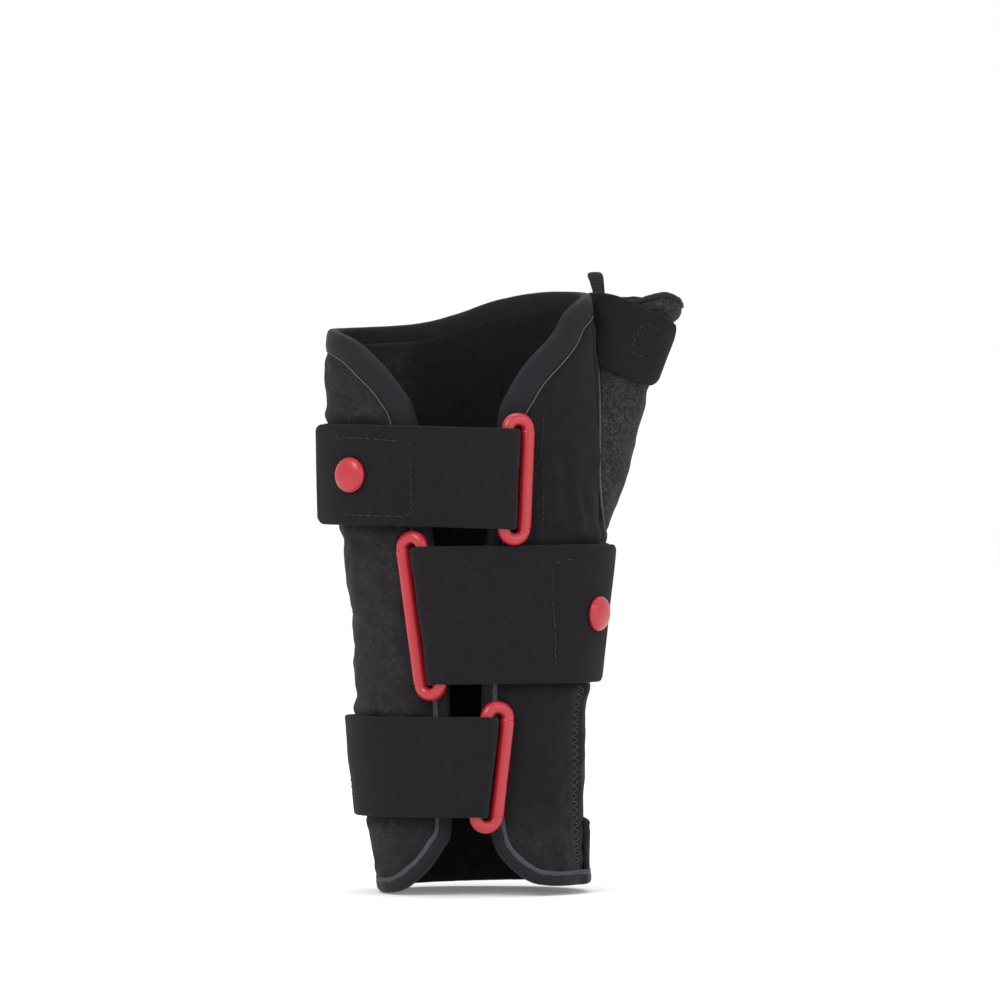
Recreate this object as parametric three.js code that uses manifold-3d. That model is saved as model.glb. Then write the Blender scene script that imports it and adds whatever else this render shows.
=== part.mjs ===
// A left-hand wrist and thumb splint in the shape it has when worn. A padded wrap goes round the
// forearm and hand and stays open along the back of the hand. Three straps draw it together, each
// folded back through a rigid loop and closed on itself, and a sleeve with a strap of its own holds
// the thumb. Millimetres. +Z runs along the arm to the fingers, +X to the thumb's side and -Y out of
// the back of the hand. The origin is the middle of the wrist.
import * as THREE from "three";
import { mergeVertices } from "three/addons/utils/BufferGeometryUtils.js";
import Module from "manifold-3d";

const wasm = await Module();
wasm.setup();

// The wrap and the thumb's sleeve, outside their walls
const BRACE_LENGTH = 196;
const BRACE_WIDTH = 89;
const BRACE_DEPTH = 58;
const THUMB_WIDTH = 29;
const THUMB_DEPTH = 28;
const SQUARENESS = 2.25; // power of the superellipse that each section is

// Cloth
const WALL = 3; // padded laminate of the wrap and the thumb's sleeve
const FLAP_THICKNESS = 1.7; // flap over the lower end of the stay's pocket
const BINDING_PROUD = 0.5; // how far a bound edge stands above the cloth it binds
const HAND_BINDING_WIDTH = 7;
const HAND_BINDING_WIDE = 0.28; // level by which the hand's binding has its full width
const FOREARM_BINDING_WIDTH = 4.2;
const THUMB_BINDING_WIDTH = 2;
const CLEARANCE = 0.3; // between two pieces that lie on each other

// Straps
const STRAP_THICKNESS = 1.7;
const NARROW_STRAP_WIDTH = 32.5;
const WIDE_STRAP_WIDTH = 44.8;
const STRAP_CORNER = 3.5; // round corners of a strap's free end
const STRAP_CLEARANCE = 0.45; // between a strap and the cloth that it lies on
const STRAP_SETTLE = 26; // run over which the outer layer comes down from the loop
const TAB_LENGTH = 20; // free end of a strap, which stands off on the tape sewn under it
const TAB_RISE = 12; // run over which the strap rises to its tab
const EDGES_END = 0.55; // share of a strap's root layer by which it has passed the bound edges
const EDGES_FALL = 0.2; // share over which it then comes down from them
const THUMB_STRAP_WIDTH = 20;
const THUMB_STRAP_CORNER = 6;
const THUMB_STRAP_SPRING = 1; // how far the thumb strap's free end stands off
const THUMB_STRAP_SLANT = 0.3; // share of the strap's slant that is left at its free end
const RIM_RISE_START = 5; // the thumb strap rises over the rim's binding between these distances
const RIM_RISE_END = 2; // below it, in widths of that binding

// Loops and rivets
const LOOP_WIRE = 4.2;
const LOOP_SLEEVE = 4.6; // the thicker outer bar
const LOOP_SPAN = 7.2; // between the two bars' middles
const LOOP_PLAY = 1; // between a strap's edge and the loop's arm
const LOOP_CORNER = 3.4; // radius of the wire's middle line at a corner
const LOOP_TILT = 15; // degrees that the bar in the strap's fold stands off
const LOOP_STEP = 0.4; // length of the step between the wire and its sleeve
const RIVET_DIAMETER = 11.3;
const RIVET_HEIGHT = 2.8;
const RIVET_RIM = 0.8; // straight side of the rivet's head below its dome

// Sections up the arm. level is the height over the wrist as a share of BRACE_LENGTH. aside and
// width are shares of BRACE_WIDTH, behind and depth of BRACE_DEPTH.
const ARM_SECTIONS = [
  { level: -0.485, aside: 0.043, width: 0.755, behind: 0, depth: 1 },
  { level: -0.357, aside: 0.021, width: 0.792, behind: 0, depth: 1 },
  { level: -0.179, aside: 0.007, width: 0.839, behind: 0, depth: 0.983 },
  { level: -0.026, aside: 0.013, width: 0.894, behind: 0, depth: 0.948 },
  { level: 0.102, aside: 0.013, width: 0.954, behind: 0, depth: 0.931 },
  { level: 0.23, aside: -0.005, width: 0.99, behind: -0.017, depth: 0.914 },
  { level: 0.357, aside: -0.029, width: 1, behind: -0.052, depth: 0.862 },
  { level: 0.449, aside: -0.031, width: 0.972, behind: -0.086, depth: 0.793 },
  { level: 0.526, aside: -0.031, width: 0.927, behind: -0.112, depth: 0.741 },
];

// Sections up the thumb. aside is a share of BRACE_WIDTH, behind of BRACE_DEPTH, width of
// THUMB_WIDTH and depth of THUMB_DEPTH.
const THUMB_SECTIONS = [
  { level: 0.04, aside: 0.25, width: 1.1, behind: 0.03, depth: 0.95 },
  { level: 0.102, aside: 0.303, width: 1.124, behind: 0.05, depth: 1.08 },
  { level: 0.204, aside: 0.393, width: 1.1, behind: 0.095, depth: 1.16 },
  { level: 0.281, aside: 0.444, width: 1.062, behind: 0.13, depth: 1.14 },
  { level: 0.357, aside: 0.497, width: 1.014, behind: 0.164, depth: 1.07 },
  { level: 0.434, aside: 0.56, width: 1.0, behind: 0.19, depth: 1.02 },
  { level: 0.495, aside: 0.616, width: 1.0, behind: 0.207, depth: 1 },
  { level: 0.6, aside: 0.61, width: 1.0, behind: 0.216, depth: 1 },
];

// The wrap's outline, as angles in degrees round the arm from the back of the hand over the thumb's
// side, and levels. The hand's half runs from the gap under the middle strap up the thumb's side,
// over the web and the palm, and down the little finger's side to the gap again.
const HAND_OUTLINE = [
  { angle: 7.3, level: -0.03 },
  { angle: 9.2, level: 0.099 },
  { angle: 17, level: 0.21 },
  { angle: 25.1, level: 0.306 },
  { angle: 33.1, level: 0.344 },
  { angle: 45.1, level: 0.389 },
  { angle: 61.3, level: 0.44 },
  { angle: 69.1, level: 0.478 },
  { angle: 80, level: 0.5 },
  { angle: 95, level: 0.511 },
  { angle: 120, level: 0.515 },
  { angle: 150, level: 0.502 },
  { angle: 180, level: 0.482 },
  { angle: 215, level: 0.463 },
  { angle: 250, level: 0.455 },
  { angle: 272, level: 0.45 },
  { angle: 287.7, level: 0.437 },
  { angle: 297, level: 0.418 },
  { angle: 310.3, level: 0.378 },
  { angle: 318.4, level: 0.346 },
  { angle: 326, level: 0.298 },
  { angle: 331.5, level: 0.108 },
  { angle: 338.6, level: -0.03 },
];

// The forearm's half runs on down the little finger's side, round both lobes and back up.
const FOREARM_OUTLINE = [
  { angle: 338.6, level: -0.033 },
  { angle: 345, level: -0.166 },
  { angle: 344, level: -0.366 },
  { angle: 337.1, level: -0.408 },
  { angle: 324.6, level: -0.448 },
  { angle: 306.6, level: -0.479 },
  { angle: 286, level: -0.486 },
  { angle: 260, level: -0.483 },
  { angle: 180, level: -0.478 },
  { angle: 110, level: -0.474 },
  { angle: 59.6, level: -0.473 },
  { angle: 44, level: -0.471 },
  { angle: 32.4, level: -0.464 },
  { angle: 18.2, level: -0.434 },
  { angle: 10.4, level: -0.398 },
  { angle: 7.5, level: -0.32 },
  { angle: 6.5, level: -0.166 },
  { angle: 7.3, level: -0.033 },
];

// Seams between the wrap's three cloth panels
const THUMB_SIDE_SEAM = [
  { level: -0.5, angle: 68.7 },
  { level: -0.166, angle: 69.1 },
  { level: 0.099, angle: 78.7 },
  { level: 0.3, angle: 81 },
  { level: 0.53, angle: 84 },
];
const LITTLE_SIDE_SEAM_ANGLE = 262;

// The stay pocket's flap, on the thumb's side of the wrap's lower end
const FLAP_TOP_LEVEL = -0.366;
const FLAP_START_ANGLE = 76;
const FLAP_END_ANGLE = 150;
const FLAP_BLEND = 8; // degrees over which the binding thickens to take in the flap

// The thumb sleeve's rim, and the middle of the thumb strap, round the thumb from the back of the
// hand. A negative angle is towards the forefinger. width is a share of THUMB_STRAP_WIDTH, less where
// the strap is gathered in the web.
const THUMB_RIM = [
  { angle: -180, level: 0.51 },
  { angle: -120, level: 0.512 },
  { angle: -100, level: 0.542 },
  { angle: -80, level: 0.546 },
  { angle: -64, level: 0.507 },
  { angle: -40, level: 0.5 },
  { angle: -10, level: 0.5 },
  { angle: 40, level: 0.513 },
  { angle: 90, level: 0.497 },
  { angle: 180, level: 0.51 },
];
const THUMB_STRAP_LINE = [
  { angle: -200, level: 0.448, width: 0.95 },
  { angle: -150, level: 0.456, width: 0.85 },
  { angle: -90, level: 0.476, width: 0.7 },
  { angle: -45, level: 0.466, width: 0.9 },
  { angle: 0, level: 0.437, width: 1 },
  { angle: 55, level: 0.408, width: 1 },
  { angle: 75, level: 0.4, width: 1 },
];

// The three straps. The middle one's loop is at MIDDLE_STRAP_LEVEL and the other two keep clear of
// it by gap millimetres, on the side that stacked says. loopAngle places the loop's outer bar, lean
// is how far that bar leans in degrees and slope how far the strap rises towards the thumb's side.
// seat is where the strap lies in its loop, from -1 at the lower arm to 1 at the upper one. towards
// is the way round the arm from the outer bar to the strap's free end. The strap's two layers end
// at endAngle and rootAngle, its rivet sits at rivetAngle, and its tab stands off by spring
// millimetres. A stiff tab stands off more at its lower edge, by the share twist of that.
const MIDDLE_STRAP_LEVEL = -0.0275;
const STRAPS = [
  {
    name: "upper",
    width: NARROW_STRAP_WIDTH,
    stacked: 1,
    gap: 0.65,
    loopAngle: 32.7,
    lean: 2.1,
    slope: -1.6,
    seat: 0,
    towards: -1,
    endAngle: -79,
    rootAngle: -108,
    rivetAngle: -53.5,
    spring: 3.6,
    twist: 0.4,
  },
  {
    name: "middle",
    width: WIDE_STRAP_WIDTH,
    stacked: 0,
    gap: 0,
    loopAngle: -35.2,
    lean: -8.2,
    slope: 1.2,
    seat: -0.3,
    towards: 1,
    endAngle: 84,
    rootAngle: 112,
    rivetAngle: 66,
    spring: 0.7,
    twist: 0,
  },
  {
    name: "lower",
    width: NARROW_STRAP_WIDTH,
    stacked: -1,
    gap: 4.7,
    loopAngle: 16.4,
    lean: 6.6,
    slope: 0.1,
    seat: -0.3,
    towards: -1,
    endAngle: -138,
    rootAngle: -160,
    rivetAngle: -117,
    spring: 0.7,
    twist: 0,
  },
];

// How far up the bodies reach that the thumb's way is cut with, as a level
const CUT_TOP_LEVEL = 0.6;

// Shares of a round corner's radius at which a strap's outline has its last columns
const STRAP_CORNER_STEPS = [0.6, 0.25, 0.06, 0];
const THUMB_CORNER_STEPS = [0.6, 0.3, 0.1, 0.02, 0];

// How finely the faces are cut
const PANEL_COLUMNS = 5;
const PALM_COLUMNS = 20;
const PALM_ROWS = 11;
const OUTLINE_STEPS = 54;
const SLEEVE_SIDES = 36;
const SLEEVE_ROWS = 12;
const STRAP_ROWS = 3;
const STRAP_STEP = 9; // degrees between a strap's columns
const THUMB_STRAP_STEP = 8;
const GIRTH_STEPS = 24;
const FOLD_STEPS = 6;
const LOOP_SIDES = 8;
const LOOP_CORNER_STEPS = 3;
const RIVET_SIDES = 18;
const RIVET_RINGS = 3;
const RIVET_REACH = 0.02; // shares of the strap over which a rivet takes its tilt

const radians = THREE.MathUtils.degToRad;
const degrees = THREE.MathUtils.radToDeg;
const lerp = THREE.MathUtils.lerp;
const smoothstep = THREE.MathUtils.smoothstep;

// A column's value on a smooth curve through a table's rows, held level past the last rows.
function follow(rows, key, column, at) {
  const last = rows.length - 1;
  if (at <= rows[0][key]) return rows[0][column];
  if (at >= rows[last][key]) return rows[last][column];
  const k = rows.findIndex((row) => row[key] > at) - 1;
  const slope = (i) => {
    const before = rows[Math.max(i - 1, 0)];
    const after = rows[Math.min(i + 1, last)];
    return (after[column] - before[column]) / (after[key] - before[key]);
  };
  const run = rows[k + 1][key] - rows[k][key];
  const t = (at - rows[k][key]) / run;
  const rise = rows[k + 1][column] - rows[k][column];
  const start = run * slope(k) - rise;
  const end = rise - run * slope(k + 1);
  return rows[k][column] + t * rise + t * (1 - t) * ((1 - t) * start + t * end);
}

// A tapering sleeve round the arm or the thumb. A point of it has an angle, a height and a lift,
// which is its distance outside the wall's inner face.
class Sleeve {
  constructor(sections, width, depth) {
    this.sections = sections;
    this.width = width;
    this.depth = depth;
  }

  section(z) {
    const at = (column) => follow(this.sections, "level", column, z / BRACE_LENGTH);
    return {
      x: at("aside") * BRACE_WIDTH,
      y: at("behind") * BRACE_DEPTH,
      halfWidth: (at("width") * this.width) / 2 - WALL,
      halfDepth: (at("depth") * this.depth) / 2 - WALL,
    };
  }

  // The distance from the section's middle to the face.
  reach(angle, z, lift) {
    const { halfWidth, halfDepth } = this.section(z);
    const across = (Math.abs(Math.sin(radians(angle))) / (halfWidth + lift)) ** SQUARENESS;
    const deep = (Math.abs(Math.cos(radians(angle))) / (halfDepth + lift)) ** SQUARENESS;
    return (across + deep) ** (-1 / SQUARENESS);
  }

  point(angle, z, lift) {
    const { x, y } = this.section(z);
    const reach = this.reach(angle, z, lift);
    return new THREE.Vector3(x + reach * Math.sin(radians(angle)), y - reach * Math.cos(radians(angle)), z);
  }

  // The angle and lift of a point in space.
  locate(point) {
    const { x, y } = this.section(point.z);
    const angle = degrees(Math.atan2(point.x - x, y - point.y));
    const reach = Math.hypot(point.x - x, point.y - y);
    const grown = this.reach(angle, point.z, LOOP_SPAN) - this.reach(angle, point.z, 0);
    return { angle, lift: ((reach - this.reach(angle, point.z, 0)) / grown) * LOOP_SPAN };
  }

  // Millimetres along the face for one degree of angle.
  perDegree(angle, z, lift = WALL) {
    return this.point(angle - 0.5, z, lift).distanceTo(this.point(angle + 0.5, z, lift));
  }

  // Axes at a point of the face: round the arm, along it, and outwards.
  axes(angle, z) {
    const round = this.point(angle + 1, z, WALL).sub(this.point(angle - 1, z, WALL)).normalize();
    const along = this.point(angle, z + 1, WALL).sub(this.point(angle, z - 1, WALL)).normalize();
    const out = new THREE.Vector3().crossVectors(round, along).normalize();
    along.crossVectors(out, round);
    return { round, along, out };
  }
}

const arm = new Sleeve(ARM_SECTIONS, BRACE_WIDTH, BRACE_DEPTH);
const thumb = new Sleeve(THUMB_SECTIONS, THUMB_WIDTH, THUMB_DEPTH);

// One closed geometry from loose triangles, with its faces pointing out.
function closed(triangles) {
  const loose = new THREE.BufferGeometry().setFromPoints(triangles.flat());
  const merged = mergeVertices(loose, 1e-3);
  const index = merged.index.array;
  const corner = (i) => new THREE.Vector3().fromBufferAttribute(merged.attributes.position, i);
  const kept = [];
  let volume = 0;
  for (let i = 0; i < index.length; i += 3) {
    const [a, b, c] = index.slice(i, i + 3);
    if (a === b || b === c || a === c) continue;
    kept.push([a, b, c]);
    volume += corner(a).dot(corner(b).cross(corner(c)));
  }
  merged.setIndex((volume > 0 ? kept : kept.map(([a, b, c]) => [a, c, b])).flat());
  return merged;
}

// The two triangles of a four-sided face.
const quad = (a, b, c, d) => [[a, b, c], [a, c, d]];

// A wall between two faces, each given by a function of a column and a row.
function wall(columns, rows, outer, inner, roundWay = false) {
  const grid = (face) =>
    Array.from({ length: columns + 1 }, (_, i) =>
      Array.from({ length: rows + 1 }, (_, k) => face(roundWay ? i % columns : i, k)),
    );
  const top = grid(outer);
  const base = grid(inner);
  const triangles = [];
  for (let i = 0; i < columns; i++) {
    for (let k = 0; k < rows; k++) {
      triangles.push(...quad(top[i][k], top[i + 1][k], top[i + 1][k + 1], top[i][k + 1]));
      triangles.push(...quad(base[i][k], base[i][k + 1], base[i + 1][k + 1], base[i + 1][k]));
    }
    triangles.push(...quad(base[i][0], base[i + 1][0], top[i + 1][0], top[i][0]));
    triangles.push(...quad(top[i][rows], top[i + 1][rows], base[i + 1][rows], base[i][rows]));
  }
  for (let k = 0; k < rows && !roundWay; k++) {
    triangles.push(...quad(top[0][k], top[0][k + 1], base[0][k + 1], base[0][k]));
    triangles.push(...quad(base[columns][k], base[columns][k + 1], top[columns][k + 1], top[columns][k]));
  }
  return closed(triangles);
}

// A sleeve's outside at a lift, filled and capped, from one height up to a height for each angle. The
// top is level across the wall's thickness.
function filled(sleeve, lift, from, to, sides = SLEEVE_SIDES, rows = SLEEVE_ROWS) {
  const at = (i, k) => {
    const angle = ((i % sides) / sides) * 360 - 180;
    const inwards = k > rows ? 2 * WALL : 0;
    return sleeve.point(angle, lerp(from, to(angle), Math.min(k / rows, 1)), lift - inwards);
  };
  const middle = (k) => {
    const sum = new THREE.Vector3();
    for (let i = 0; i < sides; i++) sum.add(at(i, k));
    return sum.divideScalar(sides);
  };
  const [base, top] = [middle(0), middle(rows)];
  const triangles = [];
  for (let i = 0; i < sides; i++) {
    triangles.push([base, at(i + 1, 0), at(i, 0)], [top, at(i, rows + 1), at(i + 1, rows + 1)]);
    for (let k = 0; k <= rows; k++) {
      triangles.push(...quad(at(i, k), at(i + 1, k), at(i + 1, k + 1), at(i, k + 1)));
    }
  }
  return closed(triangles);
}

// Solids for cuts, and back.
function solid(geometry) {
  return new wasm.Manifold(
    new wasm.Mesh({
      numProp: 3,
      vertProperties: geometry.attributes.position.array,
      triVerts: new Uint32Array(geometry.index.array),
    }),
  );
}

function cut(geometry, ...cutters) {
  const left = cutters.reduce((body, by) => body.subtract(by), solid(geometry));
  const { vertProperties, triVerts } = left.getMesh();
  return new THREE.BufferGeometry()
    .setAttribute("position", new THREE.BufferAttribute(vertProperties, 3))
    .setIndex(new THREE.BufferAttribute(triVerts, 1));
}

const group = new THREE.Group();
function add(name, geometry, material) {
  const mesh = new THREE.Mesh(geometry, material);
  mesh.name = name;
  group.add(mesh);
  return mesh;
}

const plush = new THREE.MeshStandardMaterial({ color: 0x232125, roughness: 0.95, metalness: 0 });
const knit = new THREE.MeshStandardMaterial({ color: 0x313136, roughness: 0.9, metalness: 0 });
const tape = new THREE.MeshStandardMaterial({ color: 0x1b1b20, roughness: 0.7, metalness: 0 });
const webbing = new THREE.MeshStandardMaterial({ color: 0x1f1e22, roughness: 0.95, metalness: 0 });
const redPlastic = new THREE.MeshStandardMaterial({ color: 0xd9303a, roughness: 0.3, metalness: 0 });

// Evenly spaced points on a smooth curve through an outline's rows.
function trace(rows) {
  const across = (BRACE_WIDTH / 2) * radians(1);
  const knots = rows.map(({ angle, level }) => new THREE.Vector2(angle * across, level * BRACE_LENGTH));
  return new THREE.SplineCurve(knots)
    .getSpacedPoints(OUTLINE_STEPS)
    .map(({ x, y }) => ({ angle: x / across, z: y }));
}

// An outline moved into the cloth by a distance for each height.
function inset(outline, distance) {
  return outline.map((here, i) => {
    const before = outline[Math.max(i - 1, 0)];
    const after = outline[Math.min(i + 1, outline.length - 1)];
    const scale = arm.perDegree(here.angle, here.z);
    const run = new THREE.Vector2((after.angle - before.angle) * scale, after.z - before.z).normalize();
    const by = distance(here.z);
    return { angle: here.angle + (run.y * by) / scale, z: here.z - run.x * by };
  });
}

const handOutline = trace(HAND_OUTLINE);
const forearmOutline = trace(FOREARM_OUTLINE);

// The hand's binding narrows down the gap until it meets the forearm's.
const handBindingWidth = (z) =>
  lerp(FOREARM_BINDING_WIDTH, HAND_BINDING_WIDTH, smoothstep(z / BRACE_LENGTH, 0, HAND_BINDING_WIDE));
const forearmBindingWidth = () => FOREARM_BINDING_WIDTH;

// The forearm's binding is thicker where it takes in the flap as well as the wrap.
function forearmBindingLift(angle) {
  const over = smoothstep(angle, FLAP_START_ANGLE - FLAP_BLEND, FLAP_START_ANGLE);
  const under = 1 - smoothstep(angle, FLAP_END_ANGLE, FLAP_END_ANGLE + FLAP_BLEND);
  return WALL + BINDING_PROUD + over * under * FLAP_THICKNESS;
}
const plainBindingLift = () => WALL + BINDING_PROUD;

// Across a bound edge, as shares of its width and thickness. Its free edge is round.
const BINDING_PROFILE = [
  { inwards: 0, top: 0.74, bottom: 0.26 },
  { inwards: 0.13, top: 0.97, bottom: 0.03 },
  { inwards: 0.3, top: 1, bottom: 0 },
  { inwards: 1, top: 0.97, bottom: 0 },
];

function binding(outline, width, lift) {
  const bands = BINDING_PROFILE.map(({ inwards }) => inset(outline, (z) => inwards * width(z)));
  const face = (side) => (i, k) => {
    const { angle, z } = bands[k][i];
    return arm.point(angle, z, BINDING_PROFILE[k][side] * lift(outline[i].angle));
  };
  return wall(outline.length - 1, BINDING_PROFILE.length - 1, face("top"), face("bottom"));
}

add("hand_binding", binding(handOutline, handBindingWidth, plainBindingLift), tape);
add("forearm_binding", binding(forearmOutline, forearmBindingWidth, forearmBindingLift), tape);

// The bindings' inner lines, which the panels reach up to.
const handInner = inset(handOutline, (z) => handBindingWidth(z) + CLEARANCE);
const forearmInner = inset(forearmOutline, (z) => forearmBindingWidth(z) + CLEARANCE);

const thumbSeam = (z) => follow(THUMB_SIDE_SEAM, "level", "angle", z / BRACE_LENGTH);
const littleSeam = () => LITTLE_SIDE_SEAM_ANGLE;

// A seam's angle moved a half clearance towards higher angles, or lower ones.
const beside = (seam, way) => (z) => seam(z) + (way * CLEARANCE) / 2 / arm.perDegree(seam(z), z);

// Where a line of points crosses a seam, and the line's stretches before and after that.
function meet(line, seam) {
  const past = (p) => Math.sign(p.angle - seam(p.z));
  const i = line.findIndex((p, k) => k > 0 && past(p) !== past(line[k - 1]));
  const [a, b] = [line[i - 1], line[i]];
  const t = (seam(a.z) - a.angle) / (b.angle - a.angle);
  const z = lerp(a.z, b.z, t);
  const here = { angle: seam(z), z };
  return { here, before: [...line.slice(0, i), here], after: [here, ...line.slice(i)] };
}

// A panel between a line along its bound edge and a seam that ends where the line does.
function sidePanel(edge, seam) {
  const length = [0];
  edge.slice(1).forEach((p, i) => {
    const scale = arm.perDegree(p.angle, p.z);
    length.push(length[i] + Math.hypot((p.angle - edge[i].angle) * scale, p.z - edge[i].z));
  });
  const seamZ = length.map((run) => lerp(edge[0].z, edge.at(-1).z, run / length.at(-1)));
  const face = (lift) => (i, k) => {
    const share = k / PANEL_COLUMNS;
    const z = lerp(edge[i].z, seamZ[i], share);
    return arm.point(lerp(edge[i].angle, seam(seamZ[i]), share), z, lift);
  };
  return wall(edge.length - 1, PANEL_COLUMNS, face(WALL), face(0));
}

// The palm's panel lies between the two seams and the bindings' lower and upper stretches.
function palmPanel() {
  const [right, left] = [beside(thumbSeam, 1), beside(littleSeam, -1)];
  const edgeLine = (line, from, to, up) => {
    const stretch = up
      ? meet([...meet(line, from).after], to).before
      : meet([...meet(line, to).after], from).before.reverse();
    return (share) => {
      const wanted = lerp(stretch[0].angle, stretch.at(-1).angle, share);
      const i = Math.max(1, stretch.findIndex((p) => p.angle >= wanted - 1e-9));
      const [a, b] = [stretch[i - 1], stretch[i]];
      return lerp(a.z, b.z, (wanted - a.angle) / (b.angle - a.angle));
    };
  };
  const lower = edgeLine(forearmInner, right, left, false);
  const upper = edgeLine(handInner, right, left, true);
  const face = (lift) => (i, k) => {
    const share = i / PALM_COLUMNS;
    const z = lerp(lower(share), upper(share), k / PALM_ROWS);
    return arm.point(lerp(right(z), left(z), share), z, lift);
  };
  return wall(PALM_COLUMNS, PALM_ROWS, face(WALL), face(0));
}

// The thumb's side panel runs from the lower lobe up to the web, the little finger's side panel from
// the top down to the lower lobe.
function thumbSidePanel() {
  const side = beside(thumbSeam, -1);
  return sidePanel([...meet(forearmInner, side).after, ...meet(handInner, side).before], side);
}

function littleSidePanel() {
  const side = beside(littleSeam, 1);
  return sidePanel([...meet(handInner, side).after, ...meet(forearmInner, side).before], side);
}

// The thumb's sleeve. It starts inside the arm's, from which it is cut, and the way in for the thumb
// goes through the wrap as well.
const THUMB_START = THUMB_SECTIONS[0].level * BRACE_LENGTH;
const ARM_TOP = BRACE_LENGTH * CUT_TOP_LEVEL;
const rimHeight = (angle) => follow(THUMB_RIM, "angle", "level", angle) * BRACE_LENGTH;
const sheathTop = (angle) => rimHeight(angle) - THUMB_BINDING_WIDTH - CLEARANCE;
const thumbWay = solid(filled(thumb, 0, THUMB_START, () => ARM_TOP));
const armBody = (lift) => solid(filled(arm, lift, 0, () => ARM_TOP, 2 * SLEEVE_SIDES, 2 * SLEEVE_ROWS));

add("radial_panel", cut(thumbSidePanel(), thumbWay), plush);
add("palmar_panel", cut(palmPanel(), thumbWay), plush);
add("ulnar_panel", littleSidePanel(), plush);

const sleeveBody = filled(thumb, WALL, THUMB_START, sheathTop);
add("thumb_sheath", cut(sleeveBody, thumbWay, armBody(WALL + CLEARANCE)), knit);

function thumbBinding() {
  const face = (side) => (i, k) => {
    const angle = (i / SLEEVE_SIDES) * 360 - 180;
    const { inwards } = BINDING_PROFILE[k];
    const z = rimHeight(angle) - inwards * THUMB_BINDING_WIDTH;
    return thumb.point(angle, z, BINDING_PROFILE[k][side] * (WALL + BINDING_PROUD));
  };
  return wall(SLEEVE_SIDES, BINDING_PROFILE.length - 1, face("top"), face("bottom"), true);
}
add("thumb_binding", thumbBinding(), tape);

// The stay pocket's flap lies on the wrap, over the seam on the thumb's side.
function pocketFlap() {
  const columns = Math.round((FLAP_END_ANGLE - FLAP_START_ANGLE) / STRAP_STEP);
  const lower = (angle) => {
    const i = forearmInner.findIndex((p) => p.angle <= angle);
    const [a, b] = [forearmInner[i - 1], forearmInner[i]];
    return lerp(a.z, b.z, (angle - a.angle) / (b.angle - a.angle));
  };
  const face = (lift) => (i, k) => {
    const angle = lerp(FLAP_START_ANGLE, FLAP_END_ANGLE, i / columns);
    const z = lerp(lower(angle), FLAP_TOP_LEVEL * BRACE_LENGTH, k / STRAP_ROWS);
    return arm.point(angle, z, lift);
  };
  const base = WALL + CLEARANCE;
  return wall(columns, STRAP_ROWS, face(base + FLAP_THICKNESS), face(base));
}
add("pocket_flap", pocketFlap(), plush);

// How much narrower each side of a strap is, at a distance from its rounded free end.
function cornerCut(distance, radius) {
  return distance >= radius ? 0 : radius - Math.sqrt(radius ** 2 - (radius - distance) ** 2);
}

// The height of a strap's loop.
function loopHeight({ stacked, width, gap }) {
  const apart = (WIDE_STRAP_WIDTH + width) / 2 + LOOP_PLAY + LOOP_WIRE + gap;
  return MIDDLE_STRAP_LEVEL * BRACE_LENGTH + stacked * apart;
}

// A loop's place: its outer bar's middle, its inner bar's middle, and its axes. The inner bar stands
// off further, and the strap turns back round it.
function loopFrame(row) {
  const { loopAngle, lean, towards } = row;
  const z = loopHeight(row);
  const { along, out } = arm.axes(loopAngle, z);
  const bar = along.clone().applyAxisAngle(out, radians(-lean));
  const side = new THREE.Vector3().crossVectors(bar, out).multiplyScalar(towards);
  const across = side.clone().multiplyScalar(Math.cos(radians(LOOP_TILT)));
  across.addScaledVector(out, Math.sin(radians(LOOP_TILT)));
  const outer = arm.point(loopAngle, z, WALL + BINDING_PROUD + CLEARANCE + LOOP_SLEEVE / 2);
  const inner = outer.clone().addScaledVector(across, LOOP_SPAN);
  return { bar, side, out, across, outer, inner };
}

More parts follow.
